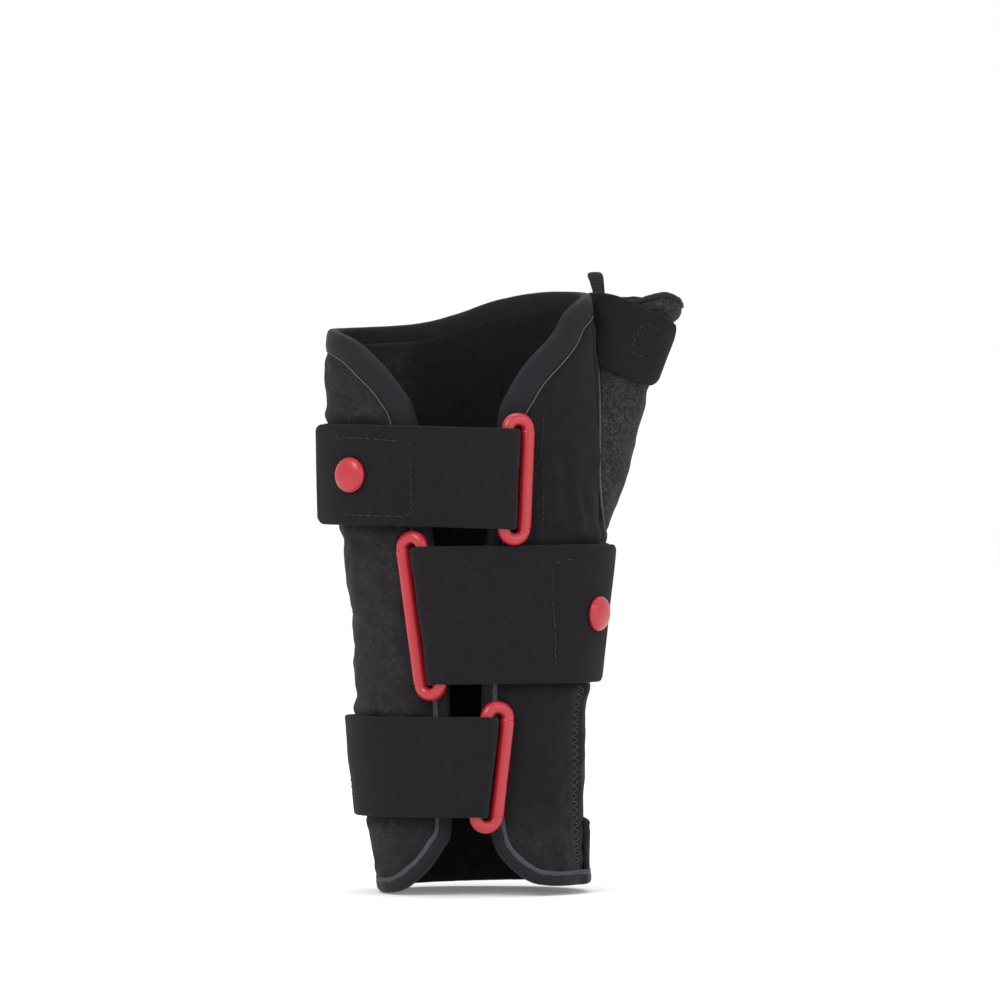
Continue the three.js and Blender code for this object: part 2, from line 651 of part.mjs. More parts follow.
// A closed wire round a rectangle with round corners. Its outer bar has a thicker sleeve.
function loop(row) {
  const { bar, across, outer } = loopFrame(row);
  const half = row.width / 2 + LOOP_PLAY + LOOP_WIRE / 2;
  const straight = half - LOOP_CORNER;
  const face = new THREE.Vector3().crossVectors(across, bar);
  const place = (a, b) => outer.clone().addScaledVector(across, a).addScaledVector(bar, b);
  const stations = [
    { at: place(0, -straight + LOOP_STEP), turn: 180, radius: LOOP_WIRE / 2 },
    { at: place(0, -straight + 2 * LOOP_STEP), turn: 180, radius: LOOP_SLEEVE / 2 },
    { at: place(0, straight - 2 * LOOP_STEP), turn: 180, radius: LOOP_SLEEVE / 2 },
    { at: place(0, straight - LOOP_STEP), turn: 180, radius: LOOP_WIRE / 2 },
  ];
  const corners = [
    { a: LOOP_CORNER, b: straight, from: 180 },
    { a: LOOP_SPAN - LOOP_CORNER, b: straight, from: 90 },
    { a: LOOP_SPAN - LOOP_CORNER, b: -straight, from: 0 },
    { a: LOOP_CORNER, b: -straight, from: -90 },
  ];
  for (const { a, b, from } of corners) {
    for (let i = 0; i <= LOOP_CORNER_STEPS; i++) {
      const turn = from - (90 * i) / LOOP_CORNER_STEPS;
      const [over, up] = [Math.cos(radians(turn)), Math.sin(radians(turn))];
      const at = place(a + LOOP_CORNER * over, b + LOOP_CORNER * up);
      stations.push({ at, turn, radius: LOOP_WIRE / 2 });
    }
  }
  const ring = ({ at, turn, radius }) =>
    Array.from({ length: LOOP_SIDES }, (_, i) => {
      const round = (2 * Math.PI * i) / LOOP_SIDES;
      const way = across.clone().multiplyScalar(Math.cos(radians(turn)) * Math.cos(round));
      way.addScaledVector(bar, Math.sin(radians(turn)) * Math.cos(round));
      return at.clone().addScaledVector(way.addScaledVector(face, Math.sin(round)), radius);
    });
  const rings = stations.map(ring);
  const triangles = rings.flatMap((here, s) => {
    const next = rings[(s + 1) % rings.length];
    return here.flatMap((p, i) => quad(p, here[(i + 1) % LOOP_SIDES], next[(i + 1) % LOOP_SIDES], next[i]));
  });
  return closed(triangles);
}

// Millimetres along the arm's face between two angles at one height.
function girth(from, to, z) {
  const at = (i) => arm.point(lerp(from, to, i / GIRTH_STEPS), z, WALL);
  const chords = Array.from({ length: GIRTH_STEPS }, (_, i) => at(i).distanceTo(at(i + 1)));
  return chords.reduce((a, b) => a + b);
}

// A strap's two layers as they run from the loop. For each place across the strap, from -1 to 1, the
// fold has its middle in the loop's inner bar. A layer's place is a share of its way from the bar.
function strapPath(row) {
  const { bar, side, out, inner } = loopFrame(row);
  const height = loopHeight(row);
  const bend = LOOP_WIRE / 2 + CLEARANCE;
  const drop = row.towards * Math.tan(radians(row.slope));
  const rootRun = girth(row.loopAngle, row.rootAngle, height);
  const endRun = girth(row.loopAngle, row.endAngle, height);

  const shift = row.seat * LOOP_PLAY;
  const hub = (across) => inner.clone().addScaledVector(bar, shift + across * (row.width / 2));
  const place = (at) => ({ ...arm.locate(at), z: at.z });
  // The root layer's lower face rises over the bound edges and to the bar.
  const rootLift = (from, share) => {
    const overEdges = BINDING_PROUD * (1 - smoothstep(share, EDGES_END, EDGES_END + EDGES_FALL));
    const atBar = 1 - smoothstep(share * rootRun, 0, STRAP_SETTLE / 2);
    return lerp(WALL + STRAP_CLEARANCE + overEdges, from.lift - bend - STRAP_THICKNESS, atBar);
  };
  const root = (across, share, up) => {
    const from = place(hub(across));
    const far = height + shift + drop * rootRun + across * (row.width / 2);
    const angle = lerp(from.angle, row.rootAngle, share);
    return arm.point(angle, lerp(from.z, far, share), rootLift(from, share) + up);
  };
  const end = (across, share, up) => {
    const from = place(hub(across));
    const half = row.width / 2 - cornerCut((1 - share) * endRun, STRAP_CORNER);
    const far = height + shift + drop * endRun + across * half;
    const angle = lerp(from.angle, row.endAngle, share);
    const under = (angle - from.angle) / (row.rootAngle - from.angle);
    const settled = rootLift(from, under) + STRAP_THICKNESS + CLEARANCE;
    const lift = lerp(from.lift + bend, settled, smoothstep(share * endRun, 0, STRAP_SETTLE));
    const tab = 1 - smoothstep((1 - share) * endRun, TAB_LENGTH, TAB_LENGTH + TAB_RISE);
    const spring = row.spring * (1 - row.twist * across) * tab;
    return arm.point(angle, lerp(from.z, far, share), lift + spring + up);
  };
  const fold = (across, turn, up) => {
    const at = hub(across).addScaledVector(side, -Math.cos(radians(turn)) * (bend + up));
    return at.addScaledVector(out, Math.sin(radians(turn)) * (bend + up));
  };
  return { root, end, fold, endRun };
}

// The strap comes from under the bar, turns round it and goes back over itself.
function strap(row) {
  const { root, end, fold, endRun } = strapPath(row);
  const rootColumns = Math.ceil(Math.abs(row.rootAngle - row.loopAngle) / STRAP_STEP);
  const endColumns = Math.ceil(Math.abs(row.endAngle - row.loopAngle) / STRAP_STEP);
  const corner = STRAP_CORNER / endRun;
  const stations = [];
  for (let i = 0; i < rootColumns; i++) stations.push({ layer: root, share: 1 - i / rootColumns });
  for (let i = 0; i <= FOLD_STEPS; i++) stations.push({ layer: fold, share: (180 * i) / FOLD_STEPS - 90 });
  for (let i = 1; i <= endColumns; i++) {
    stations.push({ layer: end, share: (i / endColumns) * (1 - corner) });
  }
  for (const left of STRAP_CORNER_STEPS) stations.push({ layer: end, share: 1 - left * corner });
  const face = (outside) => (i, k) => {
    const { layer, share } = stations[i];
    const across = (2 * k) / STRAP_ROWS - 1;
    const up = (layer === root) === outside ? 0 : STRAP_THICKNESS;
    return layer(across, share, up);
  };
  return wall(stations.length - 1, STRAP_ROWS, face(true), face(false));
}

// A rivet's domed head on the outside of the strap, near its free end.
function rivet(name, row) {
  const { end } = strapPath(row);
  const share = (row.rivetAngle - row.loopAngle) / (row.endAngle - row.loopAngle);
  const seat = (across, along, up) => end(across, share + along, STRAP_THICKNESS + up);
  const along = seat(0, RIVET_REACH, 0).sub(seat(0, -RIVET_REACH, 0)).multiplyScalar(row.towards);
  const out = along.cross(seat(RIVET_REACH, 0, 0).sub(seat(-RIVET_REACH, 0, 0))).normalize();
  const radius = RIVET_DIAMETER / 2;
  const profile = [new THREE.Vector2(0, 0), new THREE.Vector2(radius, 0)];
  for (let i = 0; i <= RIVET_RINGS; i++) {
    const turn = (Math.PI * i) / (2 * RIVET_RINGS);
    const height = RIVET_RIM + (RIVET_HEIGHT - RIVET_RIM) * Math.sin(turn);
    profile.push(new THREE.Vector2(radius * Math.cos(turn), height));
  }
  const { position } = new THREE.LatheGeometry(profile, RIVET_SIDES).toNonIndexed().attributes;
  const corner = (i) => new THREE.Vector3().fromBufferAttribute(position, i);
  const triangles = [];
  for (let i = 0; i < position.count; i += 3) triangles.push([corner(i), corner(i + 1), corner(i + 2)]);
  const mesh = add(name, closed(triangles), redPlastic);
  mesh.position.copy(seat(0, 0, CLEARANCE));
  mesh.quaternion.setFromUnitVectors(new THREE.Vector3(0, 1, 0), out);
}

for (const row of STRAPS) {
  add(`${row.name}_strap`, strap(row), webbing);
  add(`${row.name}_loop`, loop(row), redPlastic);
  rivet(`${row.name}_rivet`, row);
}

// The thumb's strap lies on the thumb's sleeve, rises over its bound rim and ends free.
function thumbStrap() {
  const [first, last] = [THUMB_STRAP_LINE[0].angle, THUMB_STRAP_LINE.at(-1).angle];
  const at = (column, angle) => follow(THUMB_STRAP_LINE, "angle", column, angle);
  const scale = thumb.perDegree(last, at("level", last) * BRACE_LENGTH, WALL);
  const corner = THUMB_STRAP_CORNER / scale;
  const columns = Math.ceil((last - corner - first) / THUMB_STRAP_STEP);
  const angles = Array.from({ length: columns + 1 }, (_, i) => lerp(first, last - corner, i / columns));
  for (const left of THUMB_CORNER_STEPS) angles.push(last - left * corner);
  const face = (up) => (i, k) => {
    const angle = angles[i];
    const middle = at("level", angle) * BRACE_LENGTH;
    const perDegree = thumb.perDegree(angle, middle, WALL);
    const near = Math.min(Math.max(angle, first + 2), last - 2);
    const rise = ((at("level", near + 2) - at("level", near - 2)) * BRACE_LENGTH) / (4 * perDegree);
    const left = (last - angle) * perDegree;
    const lean = Math.atan(rise) * lerp(THUMB_STRAP_SLANT, 1, smoothstep(left, 0, THUMB_STRAP_WIDTH));
    const half = (at("width", angle) * THUMB_STRAP_WIDTH) / 2 - cornerCut(left, THUMB_STRAP_CORNER);
    const across = ((2 * k) / STRAP_ROWS - 1) * half;
    const z = middle + across * Math.cos(lean);
    const turned = angle - (across * Math.sin(lean)) / perDegree;
    const rim = sheathTop(((turned + 540) % 360) - 180);
    const below = (rim - z) / THUMB_BINDING_WIDTH;
    const overRim = BINDING_PROUD * (1 - smoothstep(below, RIM_RISE_END, RIM_RISE_START));
    const spring = THUMB_STRAP_SPRING * (1 - smoothstep(left, 0, THUMB_STRAP_WIDTH));
    return thumb.point(turned, z, WALL + STRAP_CLEARANCE + overRim + spring + up);
  };
  return wall(angles.length - 1, STRAP_ROWS, face(STRAP_THICKNESS), face(0));
}
add("thumb_strap", cut(thumbStrap(), armBody(WALL + BINDING_PROUD + CLEARANCE)), webbing);

export default group;
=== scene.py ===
"""Dresses a thumb spica splint in the shape it has when worn.

The splint is a padded black wrap round the forearm and hand, open along the back of the hand. Three
straps draw it together, each turned back through a red loop, and a speckled sleeve holds the thumb.
All lengths below are in millimetres. Meshes are written in metres.
"""
from __future__ import annotations

import logging
import math
from dataclasses import dataclass, field
from enum import Enum
from functools import cache
from typing import Callable, NamedTuple, Sequence

import bpy
import numpy as np
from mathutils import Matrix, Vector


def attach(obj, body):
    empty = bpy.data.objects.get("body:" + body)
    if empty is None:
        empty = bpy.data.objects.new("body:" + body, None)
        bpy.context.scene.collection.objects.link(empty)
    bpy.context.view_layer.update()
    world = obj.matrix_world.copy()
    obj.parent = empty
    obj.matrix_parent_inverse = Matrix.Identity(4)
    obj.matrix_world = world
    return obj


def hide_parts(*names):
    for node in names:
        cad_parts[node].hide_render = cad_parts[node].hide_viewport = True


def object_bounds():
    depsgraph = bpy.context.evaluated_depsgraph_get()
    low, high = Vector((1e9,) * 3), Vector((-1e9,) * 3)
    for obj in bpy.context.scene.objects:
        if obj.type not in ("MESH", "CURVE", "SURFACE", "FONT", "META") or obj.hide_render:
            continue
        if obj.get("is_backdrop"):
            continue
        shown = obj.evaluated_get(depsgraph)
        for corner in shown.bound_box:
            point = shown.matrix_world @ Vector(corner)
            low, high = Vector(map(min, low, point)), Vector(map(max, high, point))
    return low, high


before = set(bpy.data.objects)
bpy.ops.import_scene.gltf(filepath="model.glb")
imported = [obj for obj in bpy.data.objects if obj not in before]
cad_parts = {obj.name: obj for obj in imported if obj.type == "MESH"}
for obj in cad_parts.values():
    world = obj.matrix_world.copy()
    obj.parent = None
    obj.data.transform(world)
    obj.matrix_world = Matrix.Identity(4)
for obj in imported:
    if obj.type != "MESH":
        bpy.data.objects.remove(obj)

CAD_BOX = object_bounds()
BODY = "root"
METRES = 0.001

Array = np.ndarray
Thing = bpy.types.Object
Socket = bpy.types.NodeSocket
Material = bpy.types.Material
Colour = tuple[float, float, float]
Surface = Callable[[Array, Array, Array], Array]

log = logging.getLogger("splint")

# The wrap and the thumb's sleeve, outside their walls
BRACE_LENGTH = 196.0
BRACE_WIDTH = 89.0
BRACE_DEPTH = 58.0
THUMB_WIDTH = 29.0
THUMB_DEPTH = 28.0
SQUARENESS = 2.25
WALL = 3.0
ARM_DEGREE = math.radians(1) * BRACE_WIDTH / 2
THUMB_DEGREE = math.radians(1) * THUMB_WIDTH / 2
BINDING_PROUD = 0.5
CLEARANCE = 0.3

# How smooth the outlines and the pieces' grids are
LINE_STEPS = 420
LINE_SOFTNESS = 5
TAPE_STEP = 0.4
SIDE_PANEL_STEPS = 46
PALM_PANEL_STEPS = (130, 140)
STITCH_RINGS = 6
STITCH_SIDES = 6
RIVET_SIDES = 64
RIVET_STEP = 0.02
SOFT_RIM = (0.0, 0.1, 0.25, 0.45, 0.7, 1.0, 1.5)
FOLD_BOW = 1.6

# The cloth simulation
SWELL_STEPS = 20
SWELL_SCALE = 10
SWELL_QUALITY = 6
SWELL_EXCESS = 0.03
HOLD_LEVELS = 12

# The straps, their loops, and the thumb's strap
STRAP_THICKNESS = 1.7
STRAP_CLEARANCE = 0.45
STRAP_CORNER = 3.5
STRAP_SETTLE = 26.0
TAB_LENGTH = 20.0
TAB_RISE = 12.0
THUMB_STRAP_SLANT = 0.3
EDGES_END = 0.55
LOOP_SPAN = 7.2
LOOP_WIRE = 4.2
LOOP_SLEEVE = 4.6
LOOP_PLAY = 1.0
LOOP_CORNER = 3.4
LOOP_TILT = 15.0
MIDDLE_STRAP_LEVEL = -0.0275
WIDE_STRAP_WIDTH = 44.8
NARROW_STRAP_WIDTH = 32.5

# Where the nap shows more and the plush is painted lighter, partly painted light for the light these
# places catch: heights, places to the side, and the size of its tufts
NAP_AND_PAINTED_LIGHT_BELOW = (-78.0, -64.0)
NAP_AND_PAINTED_LIGHT_BESIDE = (-12.0, -26.0)
TUFT_SIZE = 1.9


class Section(NamedTuple):
    """A section of a sleeve: its level as a share of the length, and its place and size as shares."""

    level: float
    aside: float
    width: float
    behind: float
    depth: float


class Corner(NamedTuple):
    """A point of an outline on a sleeve: degrees round it, and a share of the length."""

    angle: float
    level: float


class Band(NamedTuple):
    """A place on the middle line of a strap round a sleeve, with its width as a share."""

    angle: float
    level: float
    width: float


class Fold(NamedTuple):
    """A crease in the wrap's cloth between two corners. depth is below the cloth around."""

    start_angle: float
    start_level: float
    end_angle: float
    end_level: float
    depth: float
    width: float


def table(kind: type, *rows: tuple[float, ...]) -> tuple:
    """A table whose rows are all of one kind."""
    return tuple(kind(*row) for row in rows)


ARM_SECTIONS = table(
    Section,
    (-0.485, 0.043, 0.755, 0, 1),
    (-0.357, 0.021, 0.792, 0, 1),
    (-0.179, 0.007, 0.839, 0, 0.983),
    (-0.026, 0.013, 0.894, 0, 0.948),
    (0.102, 0.013, 0.954, 0, 0.931),
    (0.23, -0.005, 0.99, -0.017, 0.914),
    (0.357, -0.029, 1, -0.052, 0.862),
    (0.449, -0.031, 0.972, -0.086, 0.793),
    (0.526, -0.031, 0.927, -0.112, 0.741),
)
THUMB_SECTIONS = table(
    Section,
    (0.04, 0.25, 1.1, 0.03, 0.95),
    (0.102, 0.303, 1.124, 0.05, 1.08),
    (0.204, 0.393, 1.1, 0.095, 1.16),
    (0.281, 0.444, 1.062, 0.13, 1.14),
    (0.357, 0.497, 1.014, 0.164, 1.07),
    (0.434, 0.56, 1.0, 0.19, 1.02),
    (0.495, 0.616, 1.0, 0.207, 1),
    (0.6, 0.61, 1.0, 0.216, 1),
)
HAND_OUTLINE = table(
    Corner,
    (7.3, -0.03), (9.2, 0.099), (17, 0.21), (25.1, 0.306), (33.1, 0.344),
    (45.1, 0.389), (61.3, 0.44), (69.1, 0.478), (80, 0.5), (95, 0.511),
    (120, 0.515), (150, 0.502), (180, 0.482), (215, 0.463), (250, 0.455),
    (272, 0.45), (287.7, 0.437), (297, 0.418), (310.3, 0.378),
    (318.4, 0.346), (326, 0.298), (331.5, 0.108), (338.6, -0.03),
)
FOREARM_OUTLINE = table(
    Corner,
    (338.6, -0.033), (345, -0.166), (344, -0.366), (337.1, -0.408),
    (324.6, -0.448), (306.6, -0.479), (286, -0.486), (260, -0.483),
    (180, -0.478), (110, -0.474), (59.6, -0.473), (44, -0.471),
    (32.4, -0.464), (18.2, -0.434), (10.4, -0.398), (7.5, -0.32),
    (6.5, -0.166), (7.3, -0.033),
)
THUMB_SIDE_SEAM = table(
    Corner,
    (68.7, -0.5), (69.1, -0.166), (78.7, 0.099), (81, 0.3), (84, 0.53),
)
LITTLE_SIDE_SEAM_ANGLE = 262.0
THUMB_RIM = table(
    Corner,
    (-180, 0.51), (-120, 0.512), (-100, 0.542), (-80, 0.546),
    (-64, 0.507), (-40, 0.5), (-10, 0.5), (40, 0.513), (90, 0.497),
    (180, 0.51),
)
THUMB_STRAP_LINE = table(
    Band,
    (-200, 0.448, 0.95), (-150, 0.456, 0.85), (-90, 0.476, 0.7), (-45, 0.466, 0.9),
    (0, 0.437, 1), (55, 0.408, 1), (75, 0.4, 1),
)


def smoothstep(value: Array | float, low: float, high: float) -> Array:
    """Rises from 0 at low to 1 at high, level at both ends: t squared times 3 less twice t.

    Args:
        value: where to read the curve.
        low: where the rise starts.
        high: where it ends.

    Returns:
        The curve's values.
    """
    share = np.clip((np.asarray(value, float) - low) / (high - low), 0, 1)
    return share * share * (3 - 2 * share)


def mix(low: Array | float, high: Array | float, share: Array | float) -> Array:
    """The value that lies a share of the way from low to high."""
    return low + (high - low) * share


def ridge(distance: Array, width: float) -> Array:
    """A smooth ridge one high: e to the power of minus the squared distance over the squared width."""
    return np.exp(-((distance / width) ** 2))


def unit(vectors: Array) -> Array:
    """The vectors, each divided by its length."""
    return vectors / np.maximum(np.linalg.norm(vectors, axis=-1, keepdims=True), 1e-12)


def half_turn(degrees: Array) -> Array:
    """The same angles, from -180 up to 180 degrees."""
    return (degrees + 180) % 360 - 180


def runs(points: Array) -> Array:
    """The distance along a line of points from its first one to each."""
    return np.concatenate([[0], np.cumsum(np.linalg.norm(np.diff(points, axis=0), axis=1))])


def softened(values: Array, reach: int) -> Array:
    """Averages values with their neighbours along a line, by weights that fall off as a raised cosine.

    Past its ends the line goes on as its own image, turned half round, so that the ends stay put.

    Args:
        values: what is averaged.
        reach: how many neighbours count on each side.

    Returns:
        The softened values.
    """
    weights = np.hanning(2 * reach + 3)
    before = 2 * values[0] - values[reach + 1:0:-1]
    after = 2 * values[-1] - values[-2:-reach - 3:-1]
    return np.convolve(np.concatenate([before, values, after]), weights / weights.sum(), "valid")


def through(knots: Sequence[float], values: Sequence[float], at: Array | float) -> Array:
    """Reads a smooth curve through table rows: cubic pieces whose slopes are the neighbours' chords.

    Args:
        knots: the rows' rising positions.
        values: the rows' values.
        at: where to read the curve. It stays level past the last rows.

    Returns:
        The curve's values.
    """
    x, y = np.asarray(knots, float), np.asarray(values, float)
    last = len(x) - 1
    before, after = np.maximum(np.arange(last + 1) - 1, 0), np.minimum(np.arange(last + 1) + 1, last)
    slope = (y[after] - y[before]) / (x[after] - x[before])
    where = np.clip(np.asarray(at, float), x[0], x[-1])
    k = np.clip(np.searchsorted(x, where, side="right") - 1, 0, last - 1)
    run, rise = x[k + 1] - x[k], y[k + 1] - y[k]
    t = (where - x[k]) / run
    start, end = run * slope[k] - rise, rise - run * slope[k + 1]
    return y[k] + t * rise + t * (1 - t) * ((1 - t) * start + t * end)


def lookup(rows: Sequence[NamedTuple], by: str, name: str, at: Array | float) -> Array:
    """Reads one column of a table as a smooth curve over another.

    Args:
        rows: the table.
        by: the column of rising positions.
        name: the column that is read.
        at: where to read it.

    Returns:
        The curve's values.
    """
    return through([getattr(row, by) for row in rows], [getattr(row, name) for row in rows], at)


@dataclass(frozen=True)
class Ripple:
    """Soft unevenness: a sum of plane waves with seeded directions and phases.

    Attributes:
        height: what most of the unevenness stays within.
        wavelength: the waves' typical length.
        seed: what fixes the directions and phases.
        waves: how many waves are added.
    """

    height: float
    wavelength: float
    seed: int
    waves: int = 14

    def __call__(self, u: Array, v: Array) -> Array:
        """Reads the unevenness at places on a surface.

        Args:
            u: millimetres one way along the surface.
            v: millimetres the other way.

        Returns:
            The lifts.
        """
        random = np.random.default_rng(self.seed)
        turn = random.uniform(0, 2 * math.pi, self.waves)
        number = 2 * math.pi / (self.wavelength * random.uniform(0.65, 1.6, self.waves))
        phase = random.uniform(0, 2 * math.pi, self.waves)
        total = np.zeros(np.broadcast(u, v).shape)
        for angle, k, start in zip(turn, number, phase):
            total += np.sin(k * (u * math.cos(angle) + v * math.sin(angle)) + start)
        return self.height * (total / math.sqrt(self.waves / 2))

    def along(self, run: Array) -> Array:
        """Reads the unevenness along a line, at distances from its start."""
        return self(run, np.zeros_like(run))


PANEL_WAVES = (Ripple(0.16, 21, 5), Ripple(0.09, 8.5, 6))
KNIT_WAVES = (Ripple(0.12, 14, 15), Ripple(0.06, 6, 16))
PANEL_LINING_WAVES = Ripple(0.05, 9, 12)
KNIT_LINING_WAVES = Ripple(0.06, 6, 17)
FLAP_WAVES = Ripple(0.15, 14, 9)
THUMB_STRAP_WAVES = Ripple(0.08, 11, 19)
PIPING_WAVES = Ripple(0.08, 14, 41, 8)
RIM_PUCKERS = Ripple(0.12, 4.5, 18, 8)


@dataclass(frozen=True)
class Sleeve:
    """A tapering sleeve of superellipse sections, round the arm or the thumb.

    A point of it has an angle in degrees from the back of the hand over the thumb's side, a height
    and a lift, which is its distance outside the wall's inner face.

    Attributes:
        sections: the table of sections.
        width: the named width that the table's widths are shares of.
        depth: the named depth that the table's depths are shares of.
    """

    sections: tuple[Section, ...]
    width: float
    depth: float

    def section(self, z: Array) -> tuple[Array, Array, Array, Array]:
        """The section at each height.

        Args:
            z: heights.

        Returns:
            The middle's x and y, and half the inner width and depth.
        """
        level = np.asarray(z, float) / BRACE_LENGTH
        x = lookup(self.sections, "level", "aside", level) * BRACE_WIDTH
        y = lookup(self.sections, "level", "behind", level) * BRACE_DEPTH
        half_width = lookup(self.sections, "level", "width", level) * self.width / 2 - WALL
        half_depth = lookup(self.sections, "level", "depth", level) * self.depth / 2 - WALL
        return x, y, half_width, half_depth

    def reach(self, angle: Array, z: Array, lift: Array) -> Array:
        """The distance from the section's middle to its face.

        The sine over the half width and the cosine over the half depth are each raised to the
        squareness and added, and the reach is that sum to the power of minus one over the squareness.

        Args:
            angle: degrees round the sleeve.
            z: heights.
            lift: distances outside the inner face.

        Returns:
            The distances.
        """
        _, _, half_width, half_depth = self.section(z)
        turn = np.radians(angle)
        across = (np.abs(np.sin(turn)) / (half_width + lift)) ** SQUARENESS
        deep = (np.abs(np.cos(turn)) / (half_depth + lift)) ** SQUARENESS
        return (across + deep) ** (-1 / SQUARENESS)

    def point(self, angle: Array, z: Array, lift: Array | float) -> Array:
        """Points of the sleeve: the section's middle plus the reach along the angle.

        Args:
            angle: degrees round the sleeve.
            z: heights.
            lift: distances outside the inner face.

        Returns:
            The points, one row of x, y and z each.
        """
        angle, z, lift = np.broadcast_arrays(np.asarray(angle, float), z, lift)
        x, y, _, _ = self.section(z)
        reach = self.reach(angle, z, lift)
        turn = np.radians(angle)
        return np.stack([x + reach * np.sin(turn), y - reach * np.cos(turn), z], axis=-1)

    def locate(self, points: Array) -> tuple[Array, Array]:
        """The angle and lift of points in space.

        Args:
            points: rows of x, y and z.

        Returns:
            Their angles in degrees and their lifts.
        """
        z = points[..., 2]
        x, y, _, _ = self.section(z)
        over, back = points[..., 0] - x, y - points[..., 1]
        angle = np.degrees(np.arctan2(over, back))
        base = self.reach(angle, z, 0)
        grown = self.reach(angle, z, LOOP_SPAN) - base
        return angle, (np.hypot(over, back) - base) / grown * LOOP_SPAN

    def per_degree(self, angle: Array, z: Array) -> Array:
        """Millimetres along the face for one degree of angle."""
        step = self.point(angle + 0.5, z, WALL) - self.point(angle - 0.5, z, WALL)
        return np.linalg.norm(step, axis=-1)

    def normal(self, angle: Array, z: Array, lift: Array | float = WALL) -> Array:
        """The face's outward direction: the way round crossed with the way up.

        Args:
            angle: degrees round the sleeve.
            z: heights.
            lift: distances outside the inner face.

        Returns:
            Directions of length one.
        """
        angle, z = np.broadcast_arrays(np.asarray(angle, float), np.asarray(z, float))
        around = self.point(angle + 0.5, z, lift) - self.point(angle - 0.5, z, lift)
        upward = self.point(angle, z + 0.5, lift) - self.point(angle, z - 0.5, lift)
        return unit(np.cross(around, upward))


ARM = Sleeve(ARM_SECTIONS, BRACE_WIDTH, BRACE_DEPTH)
THUMB = Sleeve(THUMB_SECTIONS, THUMB_WIDTH, THUMB_DEPTH)


@dataclass(frozen=True)
class Line:
    """A line on the arm's sleeve.

    Attributes:
        angle: degrees at each of its points.
        z: the height at each of its points.
    """

    angle: Array
    z: Array

    @classmethod
    def smooth(cls, corners: Sequence[Corner], steps: int) -> Line:
        """Evenly spaced points on a smooth curve through an outline's rows.

        Each piece between two rows is the cubic whose end slopes are half the neighbours' chords.

        Args:
            corners: the outline's rows.
            steps: how many equal steps to take.

        Returns:
            The line.
        """
        knots = np.array([(row.angle * ARM_DEGREE, row.level * BRACE_LENGTH) for row in corners])
        last = len(knots) - 1
        at = np.linspace(0, last, 6000)
        i = np.minimum(at.astype(int), last - 1)
        t = (at - i)[:, None]
        p0, p1 = knots[np.maximum(i - 1, 0)], knots[i]
        p2, p3 = knots[i + 1], knots[np.minimum(i + 2, last)]
        v0, v1 = (p2 - p0) / 2, (p3 - p1) / 2
        dense = (2 * p1 - 2 * p2 + v0 + v1) * t**3 + (-3 * p1 + 3 * p2 - 2 * v0 - v1) * t**2 + v0 * t + p1
        run = runs(dense)
        even = np.linspace(0, run[-1], steps + 1)
        angle, z = np.interp(even, run, dense[:, 0]) / ARM_DEGREE, np.interp(even, run, dense[:, 1])
        return cls(softened(angle, LINE_SOFTNESS), softened(z, LINE_SOFTNESS))

    def inset(self, distance: Array | float) -> Line:
        """The line moved into the cloth, square to its own way.

        Args:
            distance: how far, for each point or for all.

        Returns:
            The moved line. With a distance of more than one row, one line for each row.
        """
        scale = ARM.per_degree(self.angle, self.z)
        over = softened(np.gradient(self.angle) * scale, 2 * LINE_SOFTNESS)
        up = softened(np.gradient(self.z), 2 * LINE_SOFTNESS)
        length = np.hypot(over, up)
        return Line(self.angle + up / length * distance / scale, self.z - over / length * distance)

    def runs(self) -> Array:
        """Millimetres along the line from its start to each point."""
        return runs(ARM.point(self.angle, self.z, WALL))

    def cut(self, seam: Callable[[Array], Array], keep_start: bool) -> Line:
        """One stretch of the line, up to where it crosses a seam.

        Args:
            seam: the seam's angle at each height.
            keep_start: whether the stretch before the crossing is kept, or the one after it.

        Returns:
            The stretch, with the crossing as its end.
        """
        past = np.sign(self.angle - seam(self.z))
        i = int(np.argmax(past[1:] != past[:-1])) + 1
        t = (seam(self.z[i - 1]) - self.angle[i - 1]) / (self.angle[i] - self.angle[i - 1])
        z = mix(self.z[i - 1], self.z[i], t)
        angle = seam(z)
        if keep_start:
            return Line(np.append(self.angle[:i], angle), np.append(self.z[:i], z))
        return Line(np.insert(self.angle[i:], 0, angle), np.insert(self.z[i:], 0, z))

    def joined(self, other: Line) -> Line:
        """The line followed by another."""
        return Line(np.append(self.angle, other.angle), np.append(self.z, other.z))

    def height_at(self, angle: Array) -> Array:
        """The line's height at angles round the arm, for a line that passes each of them once."""
        order = np.argsort(self.angle)
        return np.interp(angle, self.angle[order], self.z[order])

    def resampled(self, steps: int) -> Line:
        """The line with evenly spaced points, in a number of steps."""
        even = np.linspace(0, self.runs()[-1], steps + 1)
        return Line(*(np.interp(even, self.runs(), values) for values in (self.angle, self.z)))


HAND_LINE = Line.smooth(HAND_OUTLINE, LINE_STEPS)
FOREARM_LINE = Line.smooth(FOREARM_OUTLINE, LINE_STEPS)


def away_from(line: Line, angle: Array, z: Array) -> Array:
    """Millimetres from places on the wrap to the nearest point of a line.

    Args:
        line: the line.
        angle: degrees round the arm.
        z: heights.

    Returns:
        The distances.
    """
    turn = half_turn(angle[..., None] - line.angle[::3])
    return np.hypot(turn * ARM_DEGREE, z[..., None] - line.z[::3]).min(axis=-1)


def thumb_seam(z: Array) -> Array:
    """The angle of the seam on the thumb's side at each height."""
    return lookup(THUMB_SIDE_SEAM, "level", "angle", np.asarray(z, float) / BRACE_LENGTH)


def little_seam(z: Array) -> Array:
    """The angle of the seam on the little finger's side at each height."""
    return np.full(np.shape(z), LITTLE_SIDE_SEAM_ANGLE)


def rim_height(angle: Array) -> Array:
    """The height of the thumb sleeve's rim at each angle round the thumb."""
    return lookup(THUMB_RIM, "angle", "level", half_turn(np.asarray(angle, float))) * BRACE_LENGTH


